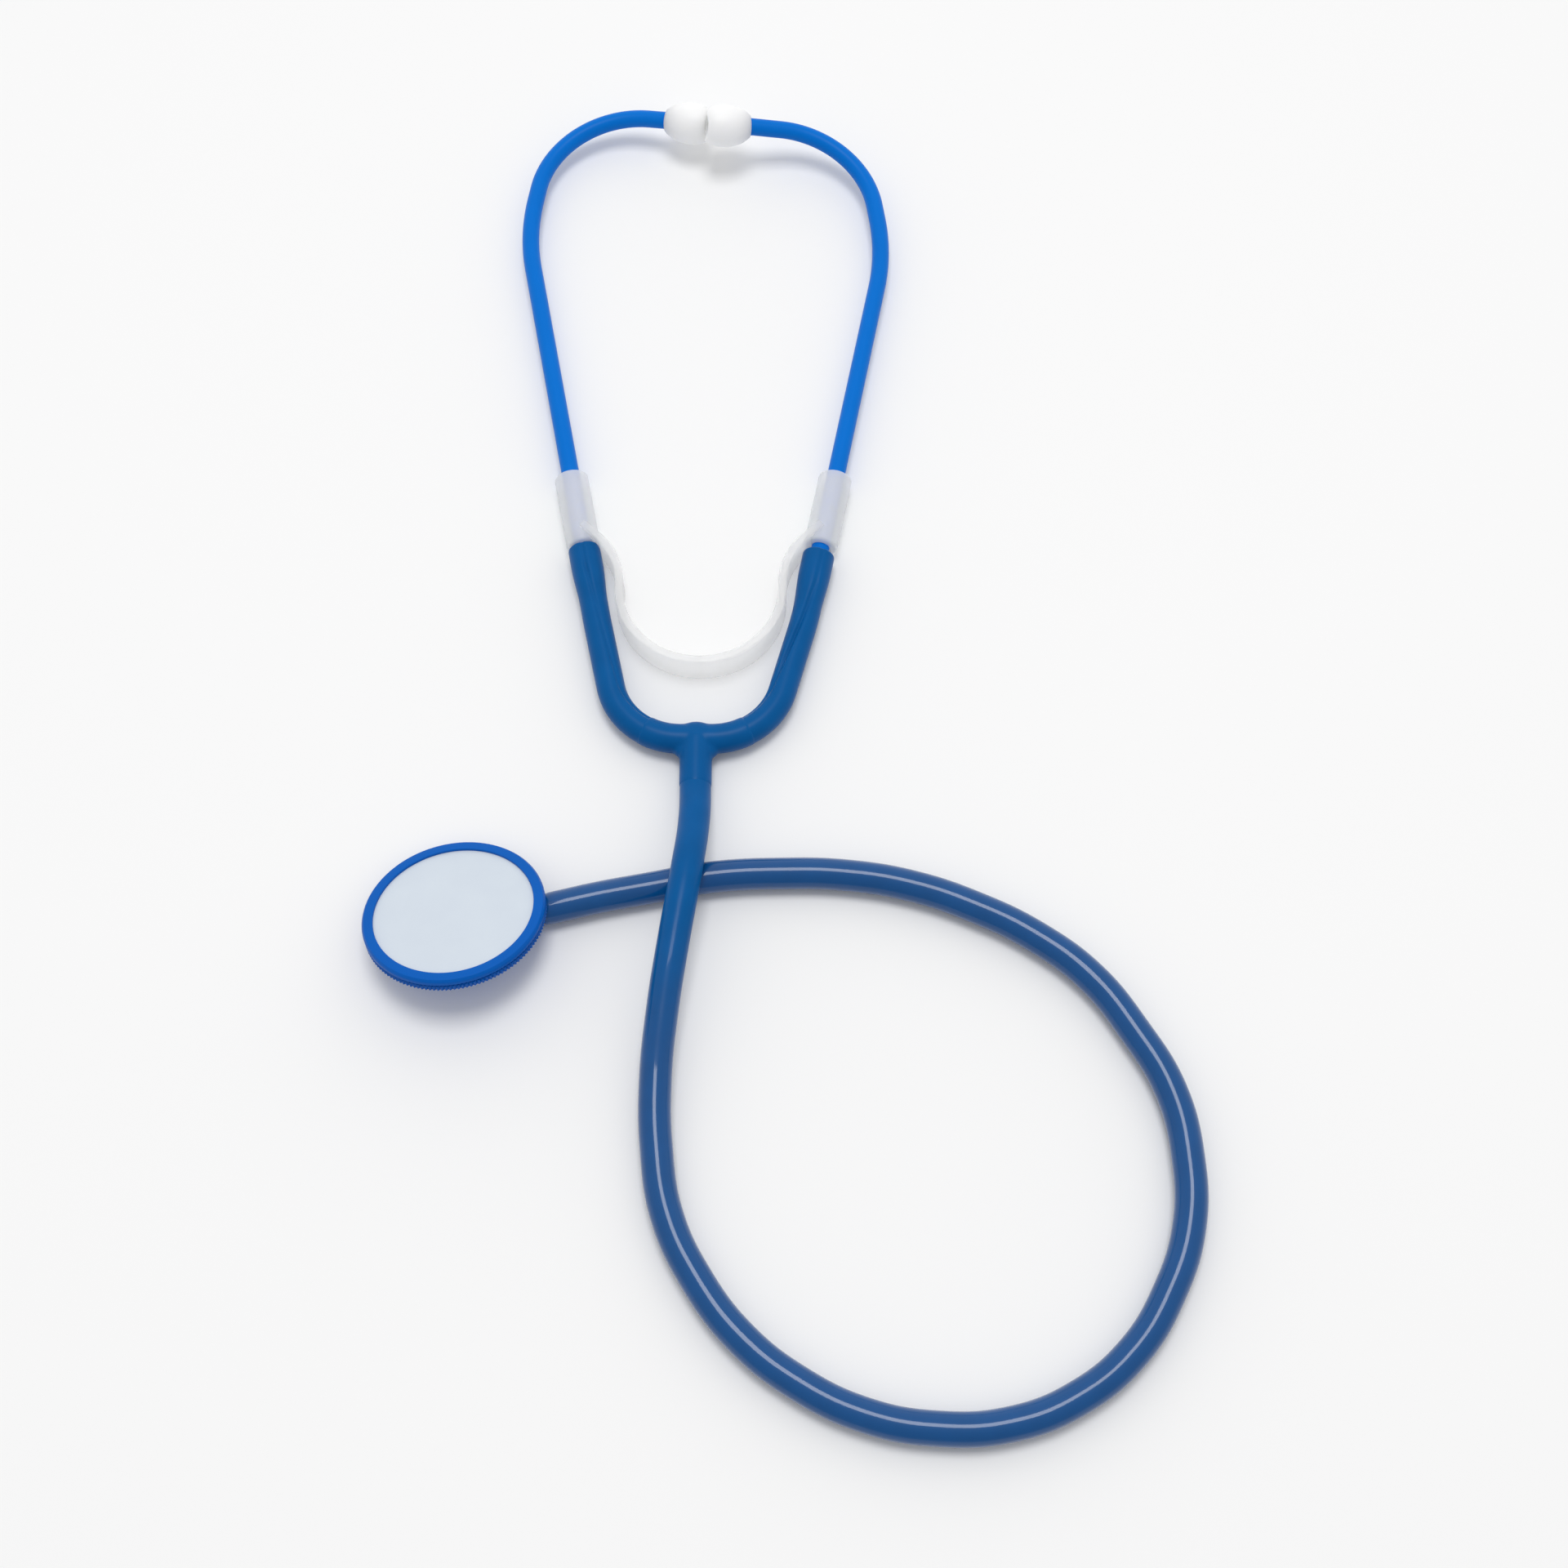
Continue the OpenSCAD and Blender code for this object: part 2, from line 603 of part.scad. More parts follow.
chest_body();
diaphragm();
retaining_ring();
hose_end();
main_hose();
y_junction();
y_arm("left");  // left_y_arm
y_arm("right");  // right_y_arm
band_sleeve("left");  // left_band_sleeve
band_sleeve("right");  // right_band_sleeve
spring_strap();
ear_tube("left");  // left_ear_tube
ear_tube("right");  // right_ear_tube
ear_tip("left");  // left_ear_tip
ear_tip("right");  // right_ear_tip
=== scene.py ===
# %% [markdown]
# # A toy stethoscope, dressed piece by piece
# The CAD model gives every piece its place and size. This script loads it as a fixed frame and
# models the looks around it: a glossy vinyl hose, a soft forked tube, a frosted spring band, blue
# ear tubes, milky ear tips and a knurled chestpiece. All lengths are in metres, so a size in
# millimetres is multiplied by MM where it is used.

from math import acos, atan2, cos, degrees, exp, pi, radians, sin, sqrt, tan

import bmesh
import bpy
from mathutils import Matrix, Vector


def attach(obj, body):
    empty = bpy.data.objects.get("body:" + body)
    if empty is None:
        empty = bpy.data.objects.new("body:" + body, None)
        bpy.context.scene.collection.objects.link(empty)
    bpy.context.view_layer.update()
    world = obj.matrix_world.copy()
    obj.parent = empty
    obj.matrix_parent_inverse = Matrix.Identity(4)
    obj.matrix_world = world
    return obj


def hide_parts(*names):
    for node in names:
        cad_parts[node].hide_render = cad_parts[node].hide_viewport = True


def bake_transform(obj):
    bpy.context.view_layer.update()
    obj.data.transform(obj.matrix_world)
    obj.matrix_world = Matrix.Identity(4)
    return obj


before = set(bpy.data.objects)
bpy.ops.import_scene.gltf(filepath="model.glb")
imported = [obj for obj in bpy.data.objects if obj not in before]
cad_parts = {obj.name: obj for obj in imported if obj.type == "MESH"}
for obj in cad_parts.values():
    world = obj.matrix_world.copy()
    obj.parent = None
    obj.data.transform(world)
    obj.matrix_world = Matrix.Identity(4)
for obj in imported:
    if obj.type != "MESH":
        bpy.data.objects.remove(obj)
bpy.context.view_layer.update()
scene = bpy.context.scene
scene.view_settings.view_transform = "Standard"
MM = 0.001

# %% [markdown]
# ## The camera
# The photograph looks down on the table at 65.5 degrees, with no roll. A 50 mm lens on a 36 mm
# sensor gives its perspective: the far ear tips are a little smaller than the near loop.

# %% Camera
VIEW_PITCH = 65.5
LOOK_AT = Vector((38.4, -80.9, 4.0)) * MM
CAMERA_DISTANCE = 575.9 * MM
LENS_MM = 50
SENSOR_MM = 36

camera = bpy.data.objects.new("camera", bpy.data.cameras.new("camera"))
camera.data.lens = LENS_MM
camera.data.sensor_width = SENSOR_MM
pitch = radians(VIEW_PITCH)
camera.location = LOOK_AT + CAMERA_DISTANCE * Vector((0, -cos(pitch), sin(pitch)))
camera.rotation_euler = (pi / 2 - pitch, 0, 0)
scene.collection.objects.link(camera)
scene.camera = camera
print("camera at", [round(v / MM, 1) for v in camera.location])

# %% [markdown]
# ## Colours and nodes
# Colours are written as the sRGB hex values that a picture editor shows. Shaders work in linear
# light, so one function converts them. Another adds a shader node, sets it and links it.


# %% Colour and node helpers
def linear_rgba(hex_code):
    """The linear colour of an sRGB hex value."""
    shares = [int(hex_code[i : i + 2], 16) / 255 for i in (1, 3, 5)]
    linear = [s / 12.92 if s <= 0.04045 else ((s + 0.055) / 1.055) ** 2.4 for s in shares]
    return (*linear, 1.0)


def add_node(tree, kind, inputs=None, **settings):
    """Adds a node to a tree. An input's value is a number, a colour or another node's output."""
    node = tree.nodes.new(kind)
    for name, value in settings.items():
        setattr(node, name, value)
    for name, value in (inputs or {}).items():
        if isinstance(value, bpy.types.NodeSocket):
            tree.links.new(value, node.inputs[name])
        else:
            node.inputs[name].default_value = value
    return node


def new_material(name):
    """An empty node material with its output, ready for a shader."""
    material = bpy.data.materials.new(name)
    material.use_nodes = True
    tree = material.node_tree
    tree.nodes.clear()
    return material, tree


# %% [markdown]
# ## Table and light
# The object lies on a white table under one large softbox. The softbox shows in the hose as a pale
# strip, and its size sets how wide that strip is. The room fills the shadows: it is lighter behind
# the object than on the camera's side, so the near sides of the tubes keep their deep blue.

# %% Table, softbox and world
TABLE_HALF = 12
TABLE_DROP = 0.05 * MM
TABLE_WHITE = "#f5f5f5"
SOFTBOX_SIZE = 0.72
SOFTBOX_AT = Vector((0.042, 0.2, 1.9))
SOFTBOX_WATTS = 13.5
ROOM_BEHIND = 0.98
ROOM_FRONT = 0.4

table_bm = bmesh.new()
bmesh.ops.create_grid(table_bm, x_segments=1, y_segments=1, size=TABLE_HALF)
bmesh.ops.translate(table_bm, verts=table_bm.verts, vec=(0, 0, -TABLE_DROP))
table_mesh = bpy.data.meshes.new("table")
table_bm.to_mesh(table_mesh)
table_bm.free()
table = bpy.data.objects.new("table", table_mesh)
scene.collection.objects.link(table)

table_paint, tree = new_material("matt_white_table")
shader = add_node(
    tree, "ShaderNodeBsdfDiffuse", {"Color": linear_rgba(TABLE_WHITE), "Roughness": 0.0}
)
add_node(tree, "ShaderNodeOutputMaterial", {"Surface": shader.outputs["BSDF"]})
table_mesh.materials.append(table_paint)

softbox = bpy.data.objects.new("softbox", bpy.data.lights.new("softbox", "AREA"))
softbox.data.shape = "SQUARE"
softbox.data.size = SOFTBOX_SIZE
softbox.data.energy = SOFTBOX_WATTS
softbox.location = SOFTBOX_AT
softbox.rotation_euler = (LOOK_AT - SOFTBOX_AT).to_track_quat("-Z", "Y").to_euler()
scene.collection.objects.link(softbox)

world = bpy.data.worlds.new("studio")
scene.world = world
world.use_nodes = True
tree = world.node_tree
tree.nodes.clear()
view = add_node(tree, "ShaderNodeTexCoord")
heading = add_node(tree, "ShaderNodeSeparateXYZ", {"Vector": view.outputs["Generated"]})
glow = add_node(
    tree,
    "ShaderNodeMapRange",
    {
        "Value": heading.outputs["Y"],
        "From Min": -1,
        "From Max": 1,
        "To Min": ROOM_FRONT,
        "To Max": ROOM_BEHIND,
    },
)
room = add_node(
    tree,
    "ShaderNodeBackground",
    {"Color": linear_rgba("#ffffff"), "Strength": glow.outputs["Result"]},
)
add_node(tree, "ShaderNodeOutputWorld", {"Surface": room.outputs["Background"]})
print("softbox", SOFTBOX_SIZE, "m wide,", round(SOFTBOX_AT.z, 2), "m above the table")

# %% [markdown]
# ## Vinyl for the hose
# The fork is moulded in PVC with a satin skin. The hose starts out like it, and grows deeper in
# colour and glossier along its length. A curve's own UV map runs from 0 to 1 along it, so one fade
# on it mixes the two colours and brings up a clear coat. The colour also varies a little from
# place to place, as dyed soft plastic does.


# %% Vinyl materials
HOSE_BLUE = "#004a86"
FORK_BLUE = "#005594"
SATIN = 0.33
SATIN_SHINE = 0.09
COAT_ROUGHNESS = 0.07
COAT_IOR = 1.37
SATIN_ENDS = 0.08
GLOSS_STARTS = 0.17
PVC_IOR = 1.53
MOTTLE = 0.1
MOTTLE_MM = 6
WAVES = 0.03
WAVES_MM = 0.6
WAVES_DEPTH = 0.1


def vinyl(name, near_hex, far_hex, gloss=None):
    """Soft PVC: a dyed satin body under a clear coat, which is a weight or a fade along the hose."""
    material, tree = new_material(name)
    place = add_node(tree, "ShaderNodeTexCoord")
    fade = 0.0
    if gloss is None:
        length = add_node(tree, "ShaderNodeUVMap", uv_map="UVMap")
        along = add_node(tree, "ShaderNodeSeparateXYZ", {"Vector": length.outputs["UV"]})
        fade = add_node(
            tree,
            "ShaderNodeMapRange",
            {"Value": along.outputs["X"], "From Min": SATIN_ENDS, "From Max": GLOSS_STARTS},
            interpolation_type="SMOOTHSTEP",
        ).outputs["Result"]
        gloss = fade
    dye = add_node(
        tree,
        "ShaderNodeMix",
        {"Factor": fade, "A": linear_rgba(near_hex), "B": linear_rgba(far_hex)},
        data_type="RGBA",
    )
    mottle = add_node(
        tree,
        "ShaderNodeTexNoise",
        {"Vector": place.outputs["Object"], "Scale": 1 / (MOTTLE_MM * MM), "Detail": 3.0},
    )
    depth = add_node(
        tree,
        "ShaderNodeMapRange",
        {"Value": mottle.outputs["Fac"], "To Min": 1 - MOTTLE, "To Max": 1 + MOTTLE},
    )
    tint = add_node(
        tree,
        "ShaderNodeVectorMath",
        {0: dye.outputs["Result"], "Scale": depth.outputs["Result"]},
        operation="SCALE",
    )
    waves = add_node(
        tree,
        "ShaderNodeTexNoise",
        {"Vector": place.outputs["Object"], "Scale": 1 / (WAVES_MM * MM), "Detail": 2.0},
    )
    bump = add_node(
        tree,
        "ShaderNodeBump",
        {"Height": waves.outputs["Fac"], "Strength": WAVES, "Distance": WAVES_DEPTH * MM},
    )
    shader = add_node(
        tree,
        "ShaderNodeBsdfPrincipled",
        {
            "Base Color": tint.outputs["Vector"],
            "Roughness": SATIN,
            "IOR": PVC_IOR,
            "Specular IOR Level": SATIN_SHINE,
            "Normal": bump.outputs["Normal"],
            "Coat Weight": gloss,
            "Coat Roughness": COAT_ROUGHNESS,
            "Coat IOR": COAT_IOR,
        },
    )
    add_node(tree, "ShaderNodeOutputMaterial", {"Surface": shader.outputs["BSDF"]})
    return material


hose_vinyl = vinyl("drawn_pvc_hose", FORK_BLUE, HOSE_BLUE)
end_vinyl = vinyl("drawn_pvc_hose_end", HOSE_BLUE, HOSE_BLUE, gloss=1.0)
fork_vinyl = vinyl("moulded_pvc_fork", FORK_BLUE, FORK_BLUE, gloss=0.0)
print("vinyl:", [m.name for m in (hose_vinyl, end_vinyl, fork_vinyl)])

# %% [markdown]
# ## The hose
# The hose is a free cord: half a metre of soft tube that leaves the fork, climbs over itself in a
# low hump, makes one loop on the table and ends on the chestpiece's stem. A curve with a round
# bevel is the simplest tube there is, and its points are the same route as the CAD solid's.

# %% Hose
HOSE_OD = 8.3
HEADSET = Vector((15, -68, 4.7))
FORK_STEM = 12.0
CHEST = Vector((-45, -122, 4.3))
STEM_TURN = radians(14)
STEM_DIR = Vector((cos(STEM_TURN), sin(STEM_TURN), 0))
END_START = 23.3
END_LEN = 10.0
END_HANDLE = 5.0

hose_start = HEADSET + Vector((0, -FORK_STEM, 0))
hose_stop = CHEST + (END_START + END_LEN) * STEM_DIR
HOSE_ROUTE = [
    (15, -93.5, 8.6),
    (13.5, -109, 13.1),
    (10.5, -128, 12),
    (8, -145, 9),
    (6.5, -162, 6),
    (7, -179, 4.5),
    (10, -196, 4.2),
    (17.5, -211.5, 4.2),
    (28, -225, 4.2),
    (41.5, -235.5, 4.2),
    (57.5, -243, 4.2),
    (74, -246, 4.2),
    (91.5, -245, 4.2),
    (107.5, -239, 4.2),
    (121, -228.5, 4.2),
    (130.5, -214.5, 4.2),
    (136.5, -198.5, 4.2),
    (137.5, -181.5, 4.2),
    (134.5, -164.5, 4.2),
    (126.5, -149, 4.2),
    (116.5, -135, 4.2),
    (103, -124, 4.2),
    (88, -116, 4.2),
    (71.5, -110, 4.2),
    (54.5, -107, 4.2),
    (37.5, -106.5, 4.2),
    (20, -107.5, 4.2),
    (4, -110.5, 4.2),
]
hose_points = [hose_start, *map(Vector, HOSE_ROUTE), hose_stop]

hose_curve = bpy.data.curves.new("hose", "CURVE")
hose_curve.dimensions = "3D"
hose_curve.bevel_depth = HOSE_OD / 2 * MM
hose_curve.bevel_resolution = 10
hose_curve.resolution_u = 14
spline = hose_curve.splines.new("BEZIER")
spline.bezier_points.add(len(hose_points) - 1)
for knot, point in zip(spline.bezier_points, hose_points):
    knot.co = point * MM
    knot.handle_left_type = knot.handle_right_type = "AUTO"
first_knot = spline.bezier_points[0]
last_knot = spline.bezier_points[-1]
for knot, heading in ((first_knot, (0, -1, 0)), (last_knot, -STEM_DIR)):
    knot.handle_left_type = knot.handle_right_type = "FREE"
    knot.handle_left = knot.co - END_HANDLE * MM * Vector(heading)
    knot.handle_right = knot.co + END_HANDLE * MM * Vector(heading)
hose = bpy.data.objects.new("hose", hose_curve)
hose_curve.materials.append(hose_vinyl)
scene.collection.objects.link(hose)
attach(hose, "tubing")
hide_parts("main_hose")

# %% [markdown]
# ## Mesh helpers
# Most pieces are either turned, as on a lathe, or swept along a path of straight runs and bends.
# A lathe is the spin operator on a profile. A sweep carries one ring of edges along and leaves a
# tube behind it: extrude for a straight run, and spin for a bend. The sweep keeps each ring and
# the place that it had, so that a later step can press a crease into it.


# %% Mesh helpers
WELD = 0.001


def new_piece(name, bm, material, sharp_degrees=None):
    """Makes an object of a finished bmesh, shaded smooth up to an edge angle."""
    mesh = bpy.data.meshes.new(name)
    bm.to_mesh(mesh)
    bm.free()
    mesh.materials.append(material)
    mesh.shade_smooth()
    if sharp_degrees:
        mesh.set_sharp_from_angle(angle=radians(sharp_degrees))
    piece = bpy.data.objects.new(name, mesh)
    scene.collection.objects.link(piece)
    return piece


def turned(profile, at, steps=96):
    """Turns a profile of (radius, height) points, in mm, about the Z axis of a place."""
    bm = bmesh.new()
    points = [bm.verts.new((r * MM, 0, h * MM)) for r, h in profile]
    edges = [bm.edges.new(pair) for pair in zip(points, points[1:])]
    bmesh.ops.spin(
        bm,
        geom=points + edges,
        cent=(0, 0, 0),
        axis=(0, 0, 1),
        dvec=(0, 0, 0),
        angle=2 * pi,
        steps=steps,
        use_merge=True,
        use_duplicate=False,
    )
    bmesh.ops.remove_doubles(bm, verts=bm.verts, dist=WELD * MM)
    bmesh.ops.recalc_face_normals(bm, faces=bm.faces)
    bmesh.ops.transform(bm, matrix=at, verts=bm.verts)
    return bm


def join_into(target, shell):
    """Adds a finished shell to another bmesh."""
    scrap = bpy.data.meshes.new("scrap")
    shell.to_mesh(scrap)
    shell.free()
    target.from_mesh(scrap)
    bpy.data.meshes.remove(scrap)


class Sweep:
    """A ring of edges carried along a path. The place's Z axis is the heading."""

    def __init__(self, at, outline):
        self.bm = bmesh.new()
        self.at = at.copy()
        corners = [self.bm.verts.new(at @ Vector((x * MM, y * MM, 0))) for x, y in outline]
        self.ring = [self.bm.edges.new(p) for p in zip(corners, corners[1:] + corners[:1])]
        self.rings = [(corners, at.copy())]
        self.run = [0.0]

    def keep(self, fresh, step, length):
        """Notes the new ring and how far it has run, and moves the place on."""
        corners = [g for g in fresh if isinstance(g, bmesh.types.BMVert)]
        known = set(corners)
        edges = [g for g in fresh if isinstance(g, bmesh.types.BMEdge)]
        self.ring = [e for e in edges if known.issuperset(e.verts)]
        self.at = self.at @ step
        self.rings.append((corners, self.at.copy()))
        self.run.append(self.run[-1] + length)

    def straight(self, length, steps=1):
        """Runs straight on along the heading."""
        step = Matrix.Translation((0, 0, length / steps * MM))
        for _ in range(steps):
            fresh = bmesh.ops.extrude_edge_only(self.bm, edges=self.ring)["geom"]
            corners = [g for g in fresh if isinstance(g, bmesh.types.BMVert)]
            heading = self.at.to_3x3() @ step.translation
            bmesh.ops.translate(self.bm, verts=corners, vec=heading)
            self.keep(fresh, step, length / steps)
        return self

    def bend(self, radius, sweep_degrees, toward, steps):
        """Bends towards +X or -X of the place, as toward is 1 or -1."""
        hub = Vector((toward * radius * MM, 0, 0))
        angle = radians(sweep_degrees) / steps
        swing = Matrix.Rotation(toward * angle, 4, "Y")
        turn = Matrix.Translation(hub) @ swing @ Matrix.Translation(-hub)
        for _ in range(steps):
            fresh = bmesh.ops.spin(
                self.bm,
                geom=self.ring + list({v for e in self.ring for v in e.verts}),
                cent=self.at @ hub,
                axis=self.at.to_3x3() @ Vector((0, toward, 0)),
                dvec=(0, 0, 0),
                angle=angle,
                steps=1,
                use_merge=False,
                use_duplicate=False,
            )["geom_last"]
            self.keep(fresh, turn, radius * angle)
        return self

    def resize(self, radius_of):
        """Sets each ring's radius in mm from its distance to the sweep's end."""
        for (corners, at), run in zip(self.rings, self.run):
            back = at.inverted()
            for v in corners:
                flat = back @ v.co
                flat *= radius_of(self.run[-1] - run) * MM / flat.length
                v.co = at @ flat

    def close(self):
        """Caps both ends and turns the faces outwards."""
        bmesh.ops.holes_fill(self.bm, edges=[e for e in self.bm.edges if e.is_boundary], sides=0)
        bmesh.ops.recalc_face_normals(self.bm, faces=self.bm.faces)
        return self.bm


def round_outline(radius, sides=48):
    """Points of a circle, for a sweep."""
    angles = [2 * pi * k / sides for k in range(sides)]
    return [(radius * cos(a), radius * sin(a)) for a in angles]


# %% [markdown]
# ## Places on the headset
# Both sides of the headset lean out along a straight axis, which starts at the mouth of the fork's
# arm. A place on that axis has its Z axis up the side, and its X axis level. The right side bends
# in towards -X, and the left side towards +X, so one sign does both. Everything above the fork
# lies a little to its right, as the photograph shows.

# %% Places on the headset
SIDE_LEAN = radians(11)
HEADSET_SHIFT = 0.65
MOUTH_HALF = 32.6
MOUTH_UP = 57.6
SLEEVE_GAP = 1.5
SLEEVE_LEN = 23.0
SIDES = {"left": 1, "right": -1}


def side_place(side, along):
    """The place on a side's axis, along mm above the arm's mouth."""
    out = -SIDES[side]
    mouth = HEADSET + Vector((HEADSET_SHIFT + out * MOUTH_HALF, MOUTH_UP, 0))
    lean = Matrix.Rotation(-out * SIDE_LEAN, 4, "Z") @ Matrix.Rotation(-pi / 2, 4, "X")
    return Matrix.Translation(mouth * MM) @ lean @ Matrix.Translation((0, 0, along * MM))


for name in SIDES:
    print(name, "mouth is at", [round(v / MM, 1) for v in side_place(name, 0).translation])

# %% [markdown]
# ## The forked tube
# The fork is one soft moulding: a stem and two arms that run together in a rounded crotch. The
# three tubes are swept, then remeshed together, and smoothing turns the corners into fillets. The
# bent arms are separate pieces, because they bend when the headset opens, and start on the fork.

# %% Places on the fork
ARM_OD = 7.7
FORK_HALF = 4.2
ARM_BEND_R = 19.5
FORK_REACH = 30
FORK_VOXEL = 0.3
FORK_SHRINK = 0.2
STEM_OVERLAP = 2.2
FILLET_PASSES = 34
HUMP_R = 4.0
HUMP_STRETCH = 1.4
HUMP_UP = 0.75
WEB_R = 2.7
WEB_IN = 0.8


def fork_arm_place(side, turned_by):
    """The place on an arm's bend, so many degrees from the stem's middle line."""
    out = -SIDES[side]
    start = Matrix.Translation((HEADSET + Vector((out * FORK_HALF, 0, 0))) * MM)
    level = Matrix.Rotation(-out * pi / 2, 4, "Z") @ Matrix.Rotation(-pi / 2, 4, "X")
    hub = Vector((SIDES[side] * ARM_BEND_R * MM, 0, 0))
    turn = Matrix.Rotation(SIDES[side] * radians(turned_by), 4, "Y")
    return start @ level @ Matrix.Translation(hub) @ turn @ Matrix.Translation(-hub)


# %% Fork shells
fork_bm = bmesh.new()
for name, toward in SIDES.items():
    inside = fork_arm_place(name, 0) @ Matrix.Translation((0, 0, -FORK_HALF * MM))
    shell = Sweep(inside, round_outline(ARM_OD / 2 + FORK_SHRINK))
    shell.straight(FORK_HALF, 4).bend(ARM_BEND_R, FORK_REACH, toward, 12)
    join_into(fork_bm, shell.close())
stem_place = Matrix.Translation(HEADSET * MM) @ Matrix.Rotation(pi / 2, 4, "X")
stem = Sweep(stem_place, round_outline(HOSE_OD / 2 + FORK_SHRINK))
stem.straight(FORK_STEM + STEM_OVERLAP, 14)
join_into(fork_bm, stem.close())
hump = bmesh.ops.create_uvsphere(
    fork_bm, u_segments=32, v_segments=16, radius=HUMP_R * MM
)["verts"]
bmesh.ops.scale(fork_bm, vec=(HUMP_STRETCH, 1, 1), verts=hump)
bmesh.ops.translate(fork_bm, verts=hump, vec=(HEADSET + Vector((0, HUMP_UP, 0))) * MM)
for out in (-1, 1):
    web = bmesh.ops.create_uvsphere(
        fork_bm, u_segments=24, v_segments=12, radius=WEB_R * MM
    )["verts"]
    corner = Vector((out * (HOSE_OD / 2 - WEB_IN), -ARM_OD / 2 + WEB_IN, 0))
    bmesh.ops.translate(fork_bm, verts=web, vec=(HEADSET + corner) * MM)
print("rough fork faces:", len(fork_bm.faces))

# %% Fork
rough_fork = new_piece("rough_fork", fork_bm, fork_vinyl)
remesh = rough_fork.modifiers.new("union", "REMESH")
remesh.mode = "VOXEL"
remesh.voxel_size = FORK_VOXEL * MM
soften = rough_fork.modifiers.new("fillets", "SMOOTH")
soften.factor = 0.5
soften.iterations = FILLET_PASSES
fork_mesh = bpy.data.meshes.new_from_object(
    rough_fork.evaluated_get(bpy.context.evaluated_depsgraph_get())
)
bpy.data.objects.remove(rough_fork)
fork_mesh.name = "fork"
fork_mesh.shade_smooth()
fork = bpy.data.objects.new("fork", fork_mesh)
scene.collection.objects.link(fork)
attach(fork, "tubing")
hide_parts("y_junction")
print("fork faces:", len(fork_mesh.polygons))

# %% [markdown]
# ## The bent arms
# Each arm is a soft tube that leans out past its side's axis, eases back on to it, and swells where
# the stiff ear tube is pushed in. Its rim is round. A moulding line runs along its top and drifts
# to the side. It is pressed into a shallow crease, which is deepest halfway up the right arm, and
# near the mouth of the left one, as a dent.

# %% Shape of an arm
ARM_START = 20
ARM_RUN = 22.0
ARM_EASE_R = 90.0
MOUTH_OD = 8.9
MOUTH_LEN = 6.0
MOUTH_TAPER = 12.0
MOUTH_ROUND = 0.9
MOUTH_PAST = {"left": 1.1, "right": -0.8}
TUBE_OD = 5.0
LIP_TUCK = 0.1


def arm_course(side):
    """An arm's lower lean, the length of its lower run, and the reach of its slight bend."""
    axis = Vector((sin(SIDE_LEAN), cos(SIDE_LEAN)))
    mouth = Vector((MOUTH_HALF - SIDES[side] * HEADSET_SHIFT, MOUTH_UP))
    to_ease = mouth - ARM_RUN * axis - Vector((FORK_HALF, ARM_BEND_R))
    lean = acos(ARM_BEND_R / to_ease.length) - atan2(to_ease.y, to_ease.x)
    reach = ARM_EASE_R * tan((lean - SIDE_LEAN) / 2)
    return lean, sqrt(to_ease.length**2 - ARM_BEND_R**2) - reach, reach


def arm_radius(to_mouth):
    """Radius of an arm at a distance from its mouth."""
    swell = min(1, max(0, (MOUTH_LEN + MOUTH_TAPER - to_mouth) / MOUTH_TAPER))
    swell = swell * swell * (3 - 2 * swell)
    radius = ARM_OD / 2 + (MOUTH_OD - ARM_OD) / 2 * swell
    rim = MOUTH_ROUND - to_mouth
    if rim > 0:
        radius -= MOUTH_ROUND - sqrt(max(0, MOUTH_ROUND**2 - rim**2))
    return radius


# %% Creases
# Lengths are in mm, along the arm from its mouth, and angles are in radians from its top
CREASES = {
    "left": {
        "depth": 0.34,
        "dent": 0.3,
        "dent_at": 9,
        "dent_run": 2.2,
        "width": 0.55,
        "angle": -0.1,
        "drift": 0.9,
        "drift_from": 8,
        "drift_run": 46,
    },
    "right": {
        "depth": 0.2,
        "dent": 0.8,
        "dent_at": 30,
        "dent_run": 15,
        "width": 0.65,
        "angle": 0.3,
        "drift": -1.25,
        "drift_from": 11,
        "drift_run": 38,
    },
}


def press_crease(arm, crease):
    """Presses a crease with one dent along an arm, at an angle that drifts from its top."""
    for (corners, at), run in zip(arm.rings, arm.run):
        back = at.inverted()
        to_go = arm.run[-1] - run
        dent = exp(-(((to_go - crease["dent_at"]) / crease["dent_run"]) ** 2))
        depth = crease["depth"] + crease["dent"] * dent
        drift = min(1, max(0, (to_go - crease["drift_from"]) / crease["drift_run"]))
        angle = crease["angle"] + crease["drift"] * drift
        for v in corners:
            flat = back @ v.co
            radius = flat.length / MM
            off = (atan2(flat.x, -flat.y) - angle) * radius
            flat *= 1 - depth / radius * exp(-((off / crease["width"]) ** 2))
            v.co = at @ flat


